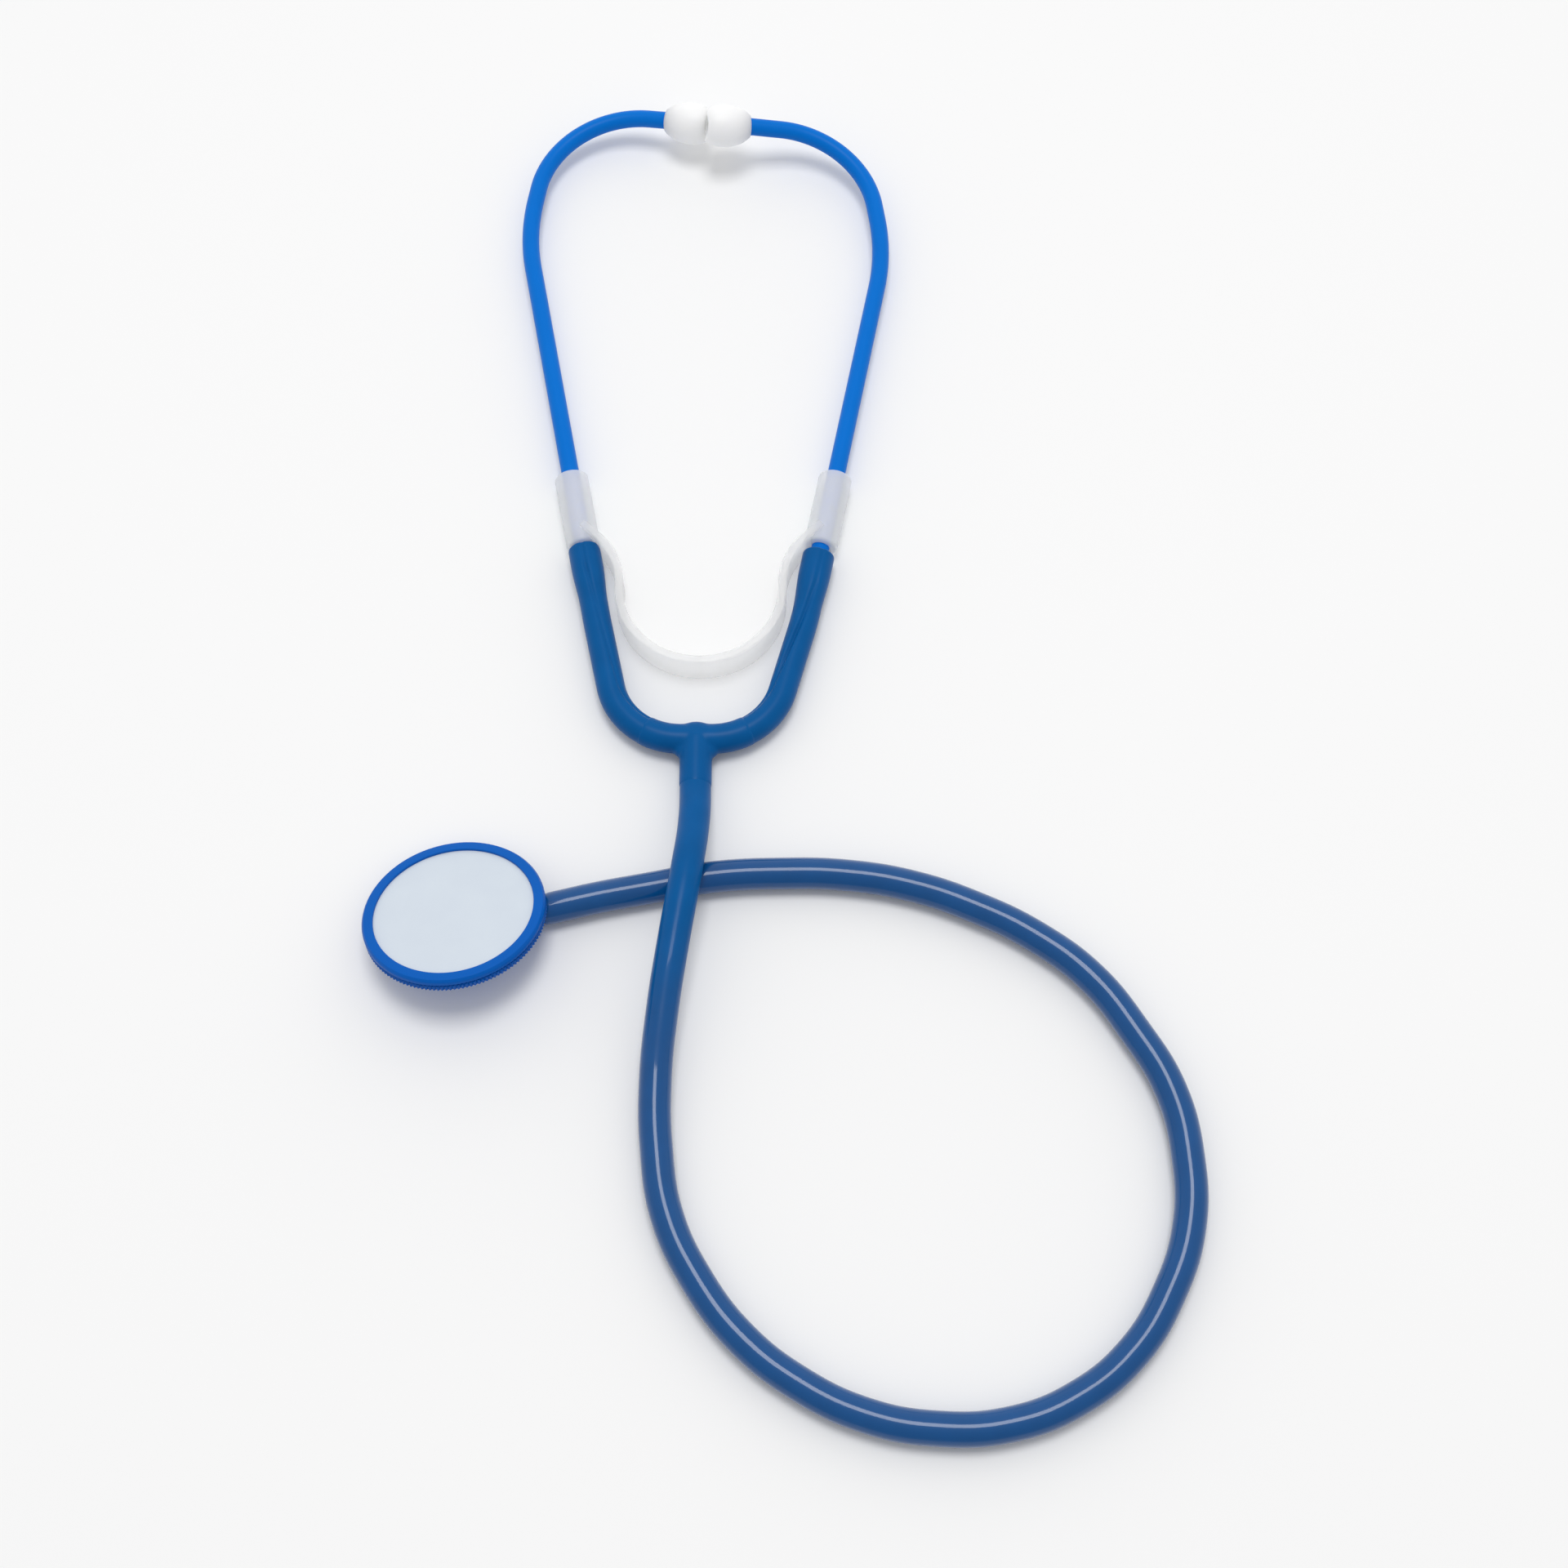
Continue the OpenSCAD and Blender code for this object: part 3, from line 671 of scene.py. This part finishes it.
# %% Arms
for name, toward in SIDES.items():
    lean, lower_run, reach = arm_course(name)
    arm = Sweep(fork_arm_place(name, ARM_START), round_outline(ARM_OD / 2, 96))
    arm.bend(ARM_BEND_R, 90 - degrees(lean) - ARM_START, toward, 40).straight(lower_run, 24)
    arm.bend(ARM_EASE_R, degrees(lean - SIDE_LEAN), toward, 8)
    arm.straight(ARM_RUN - reach - MOUTH_ROUND + MOUTH_PAST[name], 40).straight(MOUTH_ROUND, 6)
    arm.resize(arm_radius)
    press_crease(arm, CREASES[name])
    lip = bmesh.ops.extrude_edge_only(arm.bm, edges=arm.ring)["geom"]
    back = arm.at.inverted()
    for v in [g for g in lip if isinstance(g, bmesh.types.BMVert)]:
        flat = back @ v.co
        flat *= (TUBE_OD / 2 - LIP_TUCK) * MM / flat.length
        v.co = arm.at @ flat
    bmesh.ops.recalc_face_normals(arm.bm, faces=arm.bm.faces)
    piece = new_piece(f"{name}_arm", arm.bm, fork_vinyl)
    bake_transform(piece)
    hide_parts(f"{name}_y_arm")
    print(piece.name, "leans", round(degrees(lean), 1), "degrees, faces:", len(piece.data.polygons))

# %% [markdown]
# ## Ear tube plastic
# The ear tubes are moulded ABS in a bright blue, with a satin skin that spreads the softbox into a
# soft pale streak. A fine grain from the mould breaks it up a little.


# %% ABS materials
ABS_ROUGHNESS = 0.34
ABS_IOR = 1.53
FLOW = 0.06
FLOW_MM = 14
GRAIN = 0.06
GRAIN_MM = 0.35
GRAIN_DEPTH = 0.05


def moulded_abs(name, hex_code, shine):
    """Moulded ABS: an even dyed body and a satin skin with a fine grain."""
    material, tree = new_material(name)
    place = add_node(tree, "ShaderNodeTexCoord")
    flow = add_node(
        tree,
        "ShaderNodeTexNoise",
        {"Vector": place.outputs["Object"], "Scale": 1 / (FLOW_MM * MM), "Detail": 2.0},
    )
    tint = add_node(
        tree,
        "ShaderNodeMix",
        {
            "Factor": flow.outputs["Fac"],
            "A": [c * (1 - FLOW) for c in linear_rgba(hex_code)[:3]] + [1],
            "B": [min(1, c * (1 + FLOW)) for c in linear_rgba(hex_code)[:3]] + [1],
        },
        data_type="RGBA",
    )
    skin = add_node(
        tree,
        "ShaderNodeTexNoise",
        {"Vector": place.outputs["Object"], "Scale": 1 / (GRAIN_MM * MM), "Detail": 2.0},
    )
    bump = add_node(
        tree,
        "ShaderNodeBump",
        {"Height": skin.outputs["Fac"], "Strength": GRAIN, "Distance": GRAIN_DEPTH * MM},
    )
    shader = add_node(
        tree,
        "ShaderNodeBsdfPrincipled",
        {
            "Base Color": tint.outputs["Result"],
            "Roughness": ABS_ROUGHNESS,
            "IOR": ABS_IOR,
            "Specular IOR Level": shine,
            "Normal": bump.outputs["Normal"],
        },
    )
    add_node(tree, "ShaderNodeOutputMaterial", {"Surface": shader.outputs["BSDF"]})
    return material


tube_abs = moulded_abs("moulded_abs_ear_tube", "#006fce", 0.07)
chest_abs = moulded_abs("moulded_abs_chestpiece", "#005ab4", 0.1)
print("ABS:", [m.name for m in (tube_abs, chest_abs)])

# %% [markdown]
# ## The ear tubes
# Each ear tube is one bent pipe: a long straight run up the side, a gentle bend, and a crook over
# the top that ends in the ear tip. It is turned some degrees in its sleeve, which lifts the tip,
# and the left one is pushed less far into its arm than the right one.

# %% Length of each tube's last run
TUBE_PUSH = 16.0
TUBE_RUN = 67.4
SWEEP_R = 69.0
SWEEP_ANGLE = 20.5
UPRIGHT = 4.5
CROOK_R = 28.0
CROOK_ANGLE = {"left": 92, "right": 83}
TUBE_TURN = {"left": 7, "right": 11.6}
STANDOUT = {"left": 6.9, "right": 0.0}
TIP_OD = 12.3
TIP_LEN = 13.4
TIP_FULL = 8.0
TIP_RIM_OD = 6.8
TIP_NOSE_OD = 9.2
TIP_GRIP = 8.5
TIP_SKEW = {"left": 3, "right": 5}
TIP_PRESS = 0.6
SEAM_GAP = 0.1
SEAM_AT = Vector((15.4, 132, 0))
SEAM_SLOPE = 0.2

sweep = radians(SWEEP_ANGLE)
crook_up = SLEEVE_GAP + SLEEVE_LEN + TUBE_RUN + SWEEP_R * sin(sweep) + UPRIGHT * cos(sweep)
crook_in = SWEEP_R * (1 - cos(sweep)) + UPRIGHT * sin(sweep)
end_run = {}
for name, toward in SIDES.items():
    last = sweep + radians(CROOK_ANGLE[name])
    up = crook_up + CROOK_R * (sin(last) - sin(sweep)) + STANDOUT[name]
    inward = crook_in + CROOK_R * (cos(sweep) - cos(last))
    level = cos(SIDE_LEAN) * cos(radians(TUBE_TURN[name]))
    to_seam = toward * (SEAM_AT.x - HEADSET.x - HEADSET_SHIFT)
    to_seam += MOUTH_HALF + up * sin(SIDE_LEAN) - inward * level + TIP_PRESS
    end_run[name] = to_seam / (sin(last) * level - cos(last) * sin(SIDE_LEAN)) - TIP_LEN + TIP_GRIP
print("last runs in mm:", {name: round(run, 1) for name, run in end_run.items()})

# %% Ear tubes
tip_places = {}
for name, toward in SIDES.items():
    foot = side_place(name, STANDOUT[name] - TUBE_PUSH)
    foot = foot @ Matrix.Rotation(-toward * radians(TUBE_TURN[name]), 4, "Z")
    pipe = Sweep(foot, round_outline(TUBE_OD / 2, 64))
    pipe.straight(TUBE_PUSH + SLEEVE_GAP + SLEEVE_LEN + TUBE_RUN, 12)
    pipe.bend(SWEEP_R, SWEEP_ANGLE, toward, 20).straight(UPRIGHT, 2)
    pipe.bend(CROOK_R, CROOK_ANGLE[name], toward, 48).straight(end_run[name], 2)
    rim_place = pipe.at @ Matrix.Translation((0, 0, -TIP_GRIP * MM))
    tip_places[name] = rim_place @ Matrix.Rotation(toward * radians(TIP_SKEW[name]), 4, "Y")
    piece = new_piece(f"{name}_pipe", pipe.close(), tube_abs, sharp_degrees=40)
    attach(piece, f"{name}_ear")
    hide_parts(f"{name}_ear_tube")
    print(piece.name, "ends at", [round(v / MM, 1) for v in pipe.at.translation])

# %% [markdown]
# ## The ear tips
# The tips are soft milky silicone. Light enters and spreads under the skin, so subsurface
# scattering gives them their glow. Each is turned from an egg-shaped profile, whose blunt nose is
# dished round the sound hole. At rest the two noses press on each other, so both are flattened
# against one slanting seam between them. The joint that turns a tip lies a little off the tip's own
# axis, so a skin that followed its whole turn would cut into the other one.

# %% Silicone
CLOUD_MM = 3
GLOW_MM = 8

silicone, tree = new_material("milky_silicone")
place = add_node(tree, "ShaderNodeTexCoord")
cloud = add_node(
    tree,
    "ShaderNodeTexNoise",
    {"Vector": place.outputs["Object"], "Scale": 1 / (CLOUD_MM * MM), "Detail": 3.0},
)
tint = add_node(
    tree,
    "ShaderNodeMix",
    {"Factor": cloud.outputs["Fac"], "A": linear_rgba("#fbfbf8"), "B": linear_rgba("#fefefc")},
    data_type="RGBA",
)
shader = add_node(
    tree,
    "ShaderNodeBsdfPrincipled",
    {
        "Base Color": tint.outputs["Result"],
        "Roughness": 0.4,
        "IOR": 1.42,
        "Subsurface Weight": 1.0,
        "Subsurface Radius": (1.0, 1.0, 0.95),
        "Subsurface Scale": GLOW_MM * MM,
    },
)
add_node(tree, "ShaderNodeOutputMaterial", {"Surface": shader.outputs["BSDF"]})
print("tips:", silicone.name)

# %% Ear tips
HOLE_R = 1.5
EGG_STEPS = 14
BORE_PINCH = 0.05
BORE_DEPTH = 4
RIM_ROUND = 0.25
# The dish, as steps in from the nose's edge and down from its top
DISH = [(0.6, 0.05), (1.3, 0.35)]
# The sound hole, as how much wider than its radius and how far down
HOLE = [(0.2, 0.7), (0, 1.2), (0, 4)]


def ellipse_end(flat_od, length, sign):
    """One end of the egg, from its middle out to a flat of that width at that length."""
    half = length / sqrt(1 - (flat_od / TIP_OD) ** 2)
    reach = atan2(length / half, flat_od / TIP_OD)
    angles = [reach * k / EGG_STEPS for k in range(EGG_STEPS + 1)]
    return [(TIP_OD / 2 * cos(a), TIP_FULL + sign * half * sin(a)) for a in angles]


bore_r = TUBE_OD / 2 - BORE_PINCH
bore = [(bore_r, BORE_DEPTH), (bore_r, RIM_ROUND), (TIP_RIM_OD / 2 - RIM_ROUND, 0)]
rim_end = ellipse_end(TIP_RIM_OD, TIP_FULL, -1)
nose_end = ellipse_end(TIP_NOSE_OD, TIP_LEN - TIP_FULL, 1)
dish = [(TIP_NOSE_OD / 2 - inwards, TIP_LEN - down) for inwards, down in DISH]
dish += [(HOLE_R + wider, TIP_LEN - down) for wider, down in HOLE]
tip_profile = bore + rim_end[::-1] + nose_end[1:] + dish
for name, toward in SIDES.items():
    tip = turned(tip_profile, tip_places[name])
    for v in tip.verts:
        seam_x = SEAM_AT.x * MM + SEAM_SLOPE * (v.co.y - SEAM_AT.y * MM)
        past = toward * (v.co.x - seam_x) + SEAM_GAP / 2 * MM
        v.co.x -= toward * max(0, past)
    piece = new_piece(f"{name}_tip_skin", tip, silicone, sharp_degrees=50)
    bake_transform(piece)
    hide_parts(f"{name}_ear_tip")
print("nose gap in mm:", SEAM_GAP)

# %% [markdown]
# ## The frosted band
# The spring band is one moulding of frosted clear plastic: a strap on edge that ends in a sleeve
# on each ear tube. Its haze scatters light inside it and lets the blue tube show through as a pale
# band. A see-through white with scattering under its skin gives that look without noise.


# %% Band plastic
HAZE_MM = 5
HAZE_GLOW_MM = 4


def frosted(name, alpha, dim_hex, bright_hex):
    """Frosted clear plastic: a see-through white that scatters light under its skin."""
    material, tree = new_material(name)
    place = add_node(tree, "ShaderNodeTexCoord")
    haze = add_node(
        tree,
        "ShaderNodeTexNoise",
        {"Vector": place.outputs["Object"], "Scale": 1 / (HAZE_MM * MM), "Detail": 4.0},
    )
    tint = add_node(
        tree,
        "ShaderNodeMix",
        {"Factor": haze.outputs["Fac"], "A": linear_rgba(dim_hex), "B": linear_rgba(bright_hex)},
        data_type="RGBA",
    )
    shader = add_node(
        tree,
        "ShaderNodeBsdfPrincipled",
        {
            "Base Color": tint.outputs["Result"],
            "Roughness": 0.35,
            "IOR": 1.46,
            "Alpha": alpha,
            "Subsurface Weight": 1.0,
            "Subsurface Radius": (1.0, 1.0, 1.0),
            "Subsurface Scale": HAZE_GLOW_MM * MM,
        },
    )
    add_node(tree, "ShaderNodeOutputMaterial", {"Surface": shader.outputs["BSDF"]})
    return material


sleeve_plastic = frosted("frosted_clear_sleeve", 0.46, "#f4fcff", "#f9ffff")
strap_plastic = frosted("frosted_clear_strap", 0.3, "#fdfcf8", "#fffefb")
print("band:", [m.name for m in (sleeve_plastic, strap_plastic)])

# %% [markdown]
# ## Sleeves
# A sleeve is a short thick pipe with rounded ends. The lathe turns its wall, and the bevel
# operator rounds its two outer rims.

# %% Sleeves
SLEEVE_OD = 9.4
SLEEVE_ROUND = 0.8
SLEEVE_BORE = 5.1
OUTSIDE = SLEEVE_OD / 2 - 0.1
CORNER = radians(57)

for name in SIDES:
    wall = [
        (SLEEVE_BORE / 2, 0),
        (SLEEVE_OD / 2, 0),
        (SLEEVE_OD / 2, SLEEVE_LEN),
        (SLEEVE_BORE / 2, SLEEVE_LEN),
        (SLEEVE_BORE / 2, 0),
    ]
    tube = turned(wall, Matrix.Identity(4))
    rims = [
        e
        for e in tube.edges
        if e.calc_face_angle(0) > CORNER and e.verts[0].co.xy.length > OUTSIDE * MM
    ]
    bmesh.ops.bevel(
        tube,
        geom=rims,
        offset=SLEEVE_ROUND * MM,
        offset_type="OFFSET",
        affect="EDGES",
        segments=5,
        profile=0.5,
        material=-1,
    )
    bmesh.ops.recalc_face_normals(tube, faces=tube.faces)
    bmesh.ops.transform(tube, matrix=side_place(name, SLEEVE_GAP), verts=tube.verts)
    piece = new_piece(f"{name}_sleeve", tube, sleeve_plastic, sharp_degrees=40)
    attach(piece, f"{name}_side")
    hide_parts(f"{name}_band_sleeve")
print("sleeve wall in mm:", (SLEEVE_OD - SLEEVE_BORE) / 2)

# %% [markdown]
# ## The strap
# The strap stands on edge. From the bottom of its U it bends up, runs straight for a moment, bends
# out and runs into its sleeve. Each half is a sweep of one upright rectangle, and its long edges
# are rounded. The halves meet at the middle.

# %% Strap
STRAP_T = 2.3
STRAP_H = 10.0
STRAP_R = 21.2
STRAP_RISE = 22.4
STRAP_LEG = 1.5
FLARE_R = 20.0
FLARE_ANGLE = 45
FLARE_RUN = 6.8
STRAP_LIFT = 0.5
STRAP_ROUND = 0.45

upright = [
    (-STRAP_T / 2, -STRAP_H / 2),
    (STRAP_T / 2, -STRAP_H / 2),
    (STRAP_T / 2, STRAP_H / 2),
    (-STRAP_T / 2, STRAP_H / 2),
]
for name, toward in SIDES.items():
    out = -toward
    level = Matrix.Rotation(-out * pi / 2, 4, "Z") @ Matrix.Rotation(-pi / 2, 4, "X")
    middle = HEADSET + Vector((HEADSET_SHIFT, STRAP_RISE - STRAP_T / 2, STRAP_LIFT))
    band = Sweep(Matrix.Translation(middle * MM) @ level, upright)
    band.bend(STRAP_R + STRAP_T / 2, 90, toward, 36).straight(STRAP_LEG, 2)
    band.bend(FLARE_R, FLARE_ANGLE, -toward, 18).straight(FLARE_RUN, 6)
    bmesh.ops.recalc_face_normals(band.bm, faces=band.bm.faces)
    bmesh.ops.bevel(
        band.bm,
        geom=[e for e in band.bm.edges if e.calc_face_angle(0) > CORNER],
        offset=STRAP_ROUND * MM,
        offset_type="OFFSET",
        affect="EDGES",
        segments=3,
        profile=0.5,
        material=-1,
    )
    piece = new_piece(f"{name}_strap", band.bm, strap_plastic, sharp_degrees=40)
    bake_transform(piece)
    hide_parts("spring_strap")
    print(piece.name, "ends at", [round(v / MM, 1) for v in band.at.translation])

# %% [markdown]
# ## The chestpiece
# The chestpiece leans on its far edge. A retaining ring with a bevelled front, a smooth band, a
# groove and a fine knurl holds a pale diaphragm on a shallow cup. All of it is turned about the
# disc's axis. The knurl is cut by moving every second column of the ring's lower edge inwards.

# %% Chest place
CHEST_LEAN = radians(20)
chest_place = (
    Matrix.Translation(CHEST * MM)
    @ Matrix.Rotation(STEM_TURN, 4, "Z")
    @ Matrix.Rotation(-CHEST_LEAN, 4, "X")
)
print("disc's axis:", [round(v, 2) for v in chest_place.to_3x3() @ Vector((0, 0, 1))])

# %% Retaining ring
RING_OD = 47.0
RING_FRONT = 8.0
RING_H = 3.85
RING_WINDOW = 41.2
RING_LIP = 0.7
RING_BEVEL = 0.6
RING_BAND = 1.75
GROOVE_WIDTH = 0.45
GROOVE_DEPTH = 0.7
RING_WALL = 1.5
KNURL_TEETH = 140
KNURL_DEPTH = 0.45
KNURL_EDGE = 0.1
KNURL_SKIN = 0.3
WINDOW_EDGE = 0.12
BACK_EDGE = 0.15
BAND_EDGE = 0.08
BEVEL_IN = 0.15
BEVEL_OUT = 0.1
BEVEL_END = 0.2

outer = RING_OD / 2
inner = outer - RING_WALL
band_foot = RING_FRONT - RING_BAND
knurl_top = band_foot - GROOVE_WIDTH
ring_back = RING_FRONT - RING_H
ring_profile = [
    (RING_WINDOW / 2, RING_FRONT - RING_LIP),
    (RING_WINDOW / 2, RING_FRONT - WINDOW_EDGE),
    (RING_WINDOW / 2 + WINDOW_EDGE, RING_FRONT),
    (outer - RING_BEVEL - BEVEL_IN, RING_FRONT),
    (outer - RING_BEVEL + BEVEL_OUT, RING_FRONT - BAND_EDGE),
    (outer - BAND_EDGE, RING_FRONT - RING_BEVEL),
    (outer, RING_FRONT - RING_BEVEL - BEVEL_END),
    (outer, band_foot + BAND_EDGE),
    (outer - BAND_EDGE, band_foot),
    (outer - GROOVE_DEPTH, band_foot),
    (outer - GROOVE_DEPTH, knurl_top),
    (outer - KNURL_EDGE, knurl_top),
    (outer, knurl_top - KNURL_EDGE),
    (outer, ring_back + BACK_EDGE),
    (outer - BACK_EDGE, ring_back),
    (inner, ring_back),
    (inner, RING_FRONT - RING_LIP),
    (RING_WINDOW / 2, RING_FRONT - RING_LIP),
]
ring_bm = turned(ring_profile, Matrix.Identity(4), steps=2 * KNURL_TEETH)
for v in ring_bm.verts:
    column = round(atan2(v.co.y, v.co.x) / (2 * pi) * 2 * KNURL_TEETH)
    low = v.co.z < (knurl_top + WELD) * MM
    outside = v.co.xy.length > (outer - KNURL_SKIN) * MM
    if column % 2 and low and outside:
        shrink = 1 - KNURL_DEPTH * MM / v.co.xy.length
        v.co.x *= shrink
        v.co.y *= shrink
bmesh.ops.transform(ring_bm, matrix=chest_place, verts=ring_bm.verts)
ring = new_piece("ring_shell", ring_bm, chest_abs, sharp_degrees=32)
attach(ring, "ring")
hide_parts("retaining_ring")
print("knurl pitch in mm:", round(pi * RING_OD / KNURL_TEETH, 2))

# %% [markdown]
# ## The diaphragm
# The diaphragm is a thin sheet of pale, matt plastic. It is turned as a very low dome, and a fine
# grain keeps it from looking like paper.

# %% Film plastic
FILM_HAZE_MM = 9
FILM_GRAIN = 0.08
FILM_GRAIN_MM = 0.4
FILM_GRAIN_DEPTH = 0.05

film, tree = new_material("matt_plastic_film")
place = add_node(tree, "ShaderNodeTexCoord")
haze = add_node(
    tree,
    "ShaderNodeTexNoise",
    {"Vector": place.outputs["Object"], "Scale": 1 / (FILM_HAZE_MM * MM), "Detail": 3.0},
)
tint = add_node(
    tree,
    "ShaderNodeMix",
    {"Factor": haze.outputs["Fac"], "A": linear_rgba("#c8d1dc"), "B": linear_rgba("#cfd8e1")},
    data_type="RGBA",
)
grain = add_node(
    tree,
    "ShaderNodeTexNoise",
    {"Vector": place.outputs["Object"], "Scale": 1 / (FILM_GRAIN_MM * MM), "Detail": 2.0},
)
bump = add_node(
    tree,
    "ShaderNodeBump",
    {"Height": grain.outputs["Fac"], "Strength": FILM_GRAIN, "Distance": FILM_GRAIN_DEPTH * MM},
)
shader = add_node(
    tree,
    "ShaderNodeBsdfPrincipled",
    {
        "Base Color": tint.outputs["Result"],
        "Roughness": 0.55,
        "IOR": 1.5,
        "Normal": bump.outputs["Normal"],
    },
)
add_node(tree, "ShaderNodeOutputMaterial", {"Surface": shader.outputs["BSDF"]})
print("film:", film.name)

# %% Diaphragm
DIAPHRAGM_T = 0.4
SEAT_GAP = 0.05
# The dome, as radii and heights above the film's edge
DOME = [(0, 0.12), (7, 0.1), (14, 0.06), (19, 0.02)]

film_front = RING_FRONT - RING_LIP - SEAT_GAP
seat_r = inner - SEAT_GAP
film_profile = [
    *[(radius, film_front + crown) for radius, crown in DOME],
    (seat_r, film_front),
    (seat_r, film_front - DIAPHRAGM_T),
    (0, film_front - DIAPHRAGM_T),
]
film_bm = turned(film_profile, chest_place)
film_piece = new_piece("diaphragm_film", film_bm, film, sharp_degrees=40)
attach(film_piece, "chest")
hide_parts("diaphragm")
print("diaphragm is", 2 * seat_r, "mm across")

# %% [markdown]
# ## Cup, boss and stem
# Behind the diaphragm the cup tapers to a hub. A round boss leaves it sideways and ends in the
# stem, inside the hose. The cup and the boss are turned apart and joined in one mesh.

# %% Cup
CUP_TOP = film_front - DIAPHRAGM_T
CUP_WALL_H = 3.2
CUP_WALL_ROUND = 0.4
CUP_WALL_EDGE = 0.3
CUP_WALL_FOOT = 0.05
CUP_RIM = 1.6
CUP_RIM_H = 1.6
CUP_FLOOR = 3.5
FILM_CLEAR = 0.02
HUB_R = 6.0
HUB_BACK = 2.8
# The hub's fillet, as how far out of the hub and how high
HUB_FILLET = [(1.2, 1.42), (0.4, 1.2), (0.05, 0.7), (0, 0.2)]
# The hub's rounded edge, as how far inside it and how far above its back
HUB_ROUND = [(0, 1.4), (0.3, 0.6), (1.4, 0)]
BOSS_OD = 7.0
BOSS_SHORT = 0.5
BOSS_LEN = RING_OD / 2 - BOSS_SHORT
BOSS_FROM = 1
BOSS_EDGE = 0.4
STEM_OD = 5.0
STEM_LEN = 9.5

rim_r = seat_r - CUP_RIM
cup_foot = CUP_TOP - CUP_WALL_H
cup_profile = [
    (0, CUP_FLOOR),
    (HUB_R, CUP_FLOOR),
    (rim_r, CUP_TOP - CUP_RIM_H),
    (rim_r, CUP_TOP - FILM_CLEAR),
    (seat_r, CUP_TOP - FILM_CLEAR),
    (seat_r, cup_foot + CUP_WALL_EDGE),
    (seat_r - CUP_WALL_ROUND, cup_foot - CUP_WALL_FOOT),
    *[(HUB_R + out, height) for out, height in HUB_FILLET],
    *[(HUB_R - inwards, height - HUB_BACK) for inwards, height in HUB_ROUND],
    (0, -HUB_BACK),
]
cup_bm = turned(cup_profile, chest_place)
boss_place = chest_place @ Matrix.Rotation(pi / 2, 4, "Y")
boss_profile = [
    (0, BOSS_FROM),
    (BOSS_OD / 2, BOSS_FROM),
    (BOSS_OD / 2, BOSS_LEN - BOSS_EDGE),
    (BOSS_OD / 2 - BOSS_EDGE, BOSS_LEN),
    (STEM_OD / 2, BOSS_LEN),
    (STEM_OD / 2, BOSS_LEN + STEM_LEN),
    (0, BOSS_LEN + STEM_LEN),
]
join_into(cup_bm, turned(boss_profile, boss_place, steps=48))
cup = new_piece("cup_and_boss", cup_bm, chest_abs, sharp_degrees=40)
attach(cup, "chest")
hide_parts("chest_body")
print("boss stands", BOSS_LEN, "mm from the disc's axis")

# %% [markdown]
# ## The hose end
# The end of the hose is pushed over the stem, right up under the ring. It is turned about
# the stem's axis, and its rim is a little narrower, to stay clear of the ring as that swivels.

# %% Hose end
END_NECK = 1.6
END_NECK_OD = 8.0
END_FULL = 1.0
END_BORE_GAP = 0.05
END_ROUND_IN = 0.2
END_ROUND_UP = 0.3
END_SWELL = 0.02
END_TUCK = 0.1
END_TUCK_LEN = 2

end_profile = [
    (BOSS_OD / 2 + END_BORE_GAP, -END_NECK),
    (END_NECK_OD / 2 - END_ROUND_IN, -END_NECK),
    (END_NECK_OD / 2, -END_NECK + END_ROUND_UP),
    (END_NECK_OD / 2 + END_SWELL, 0),
    (HOSE_OD / 2, END_FULL),
    (HOSE_OD / 2, END_LEN),
    (HOSE_OD / 2 - END_TUCK, END_LEN + END_TUCK_LEN),
]
end_place = boss_place @ Matrix.Translation((0, 0, END_START * MM))
end_bm = turned(end_profile, end_place, steps=64)
hose_end = new_piece("hose_end_skin", end_bm, end_vinyl, sharp_degrees=60)
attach(hose_end, "tubing")
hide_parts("hose_end")
print("hose end covers", END_NECK + END_LEN, "mm of the stem's axis")
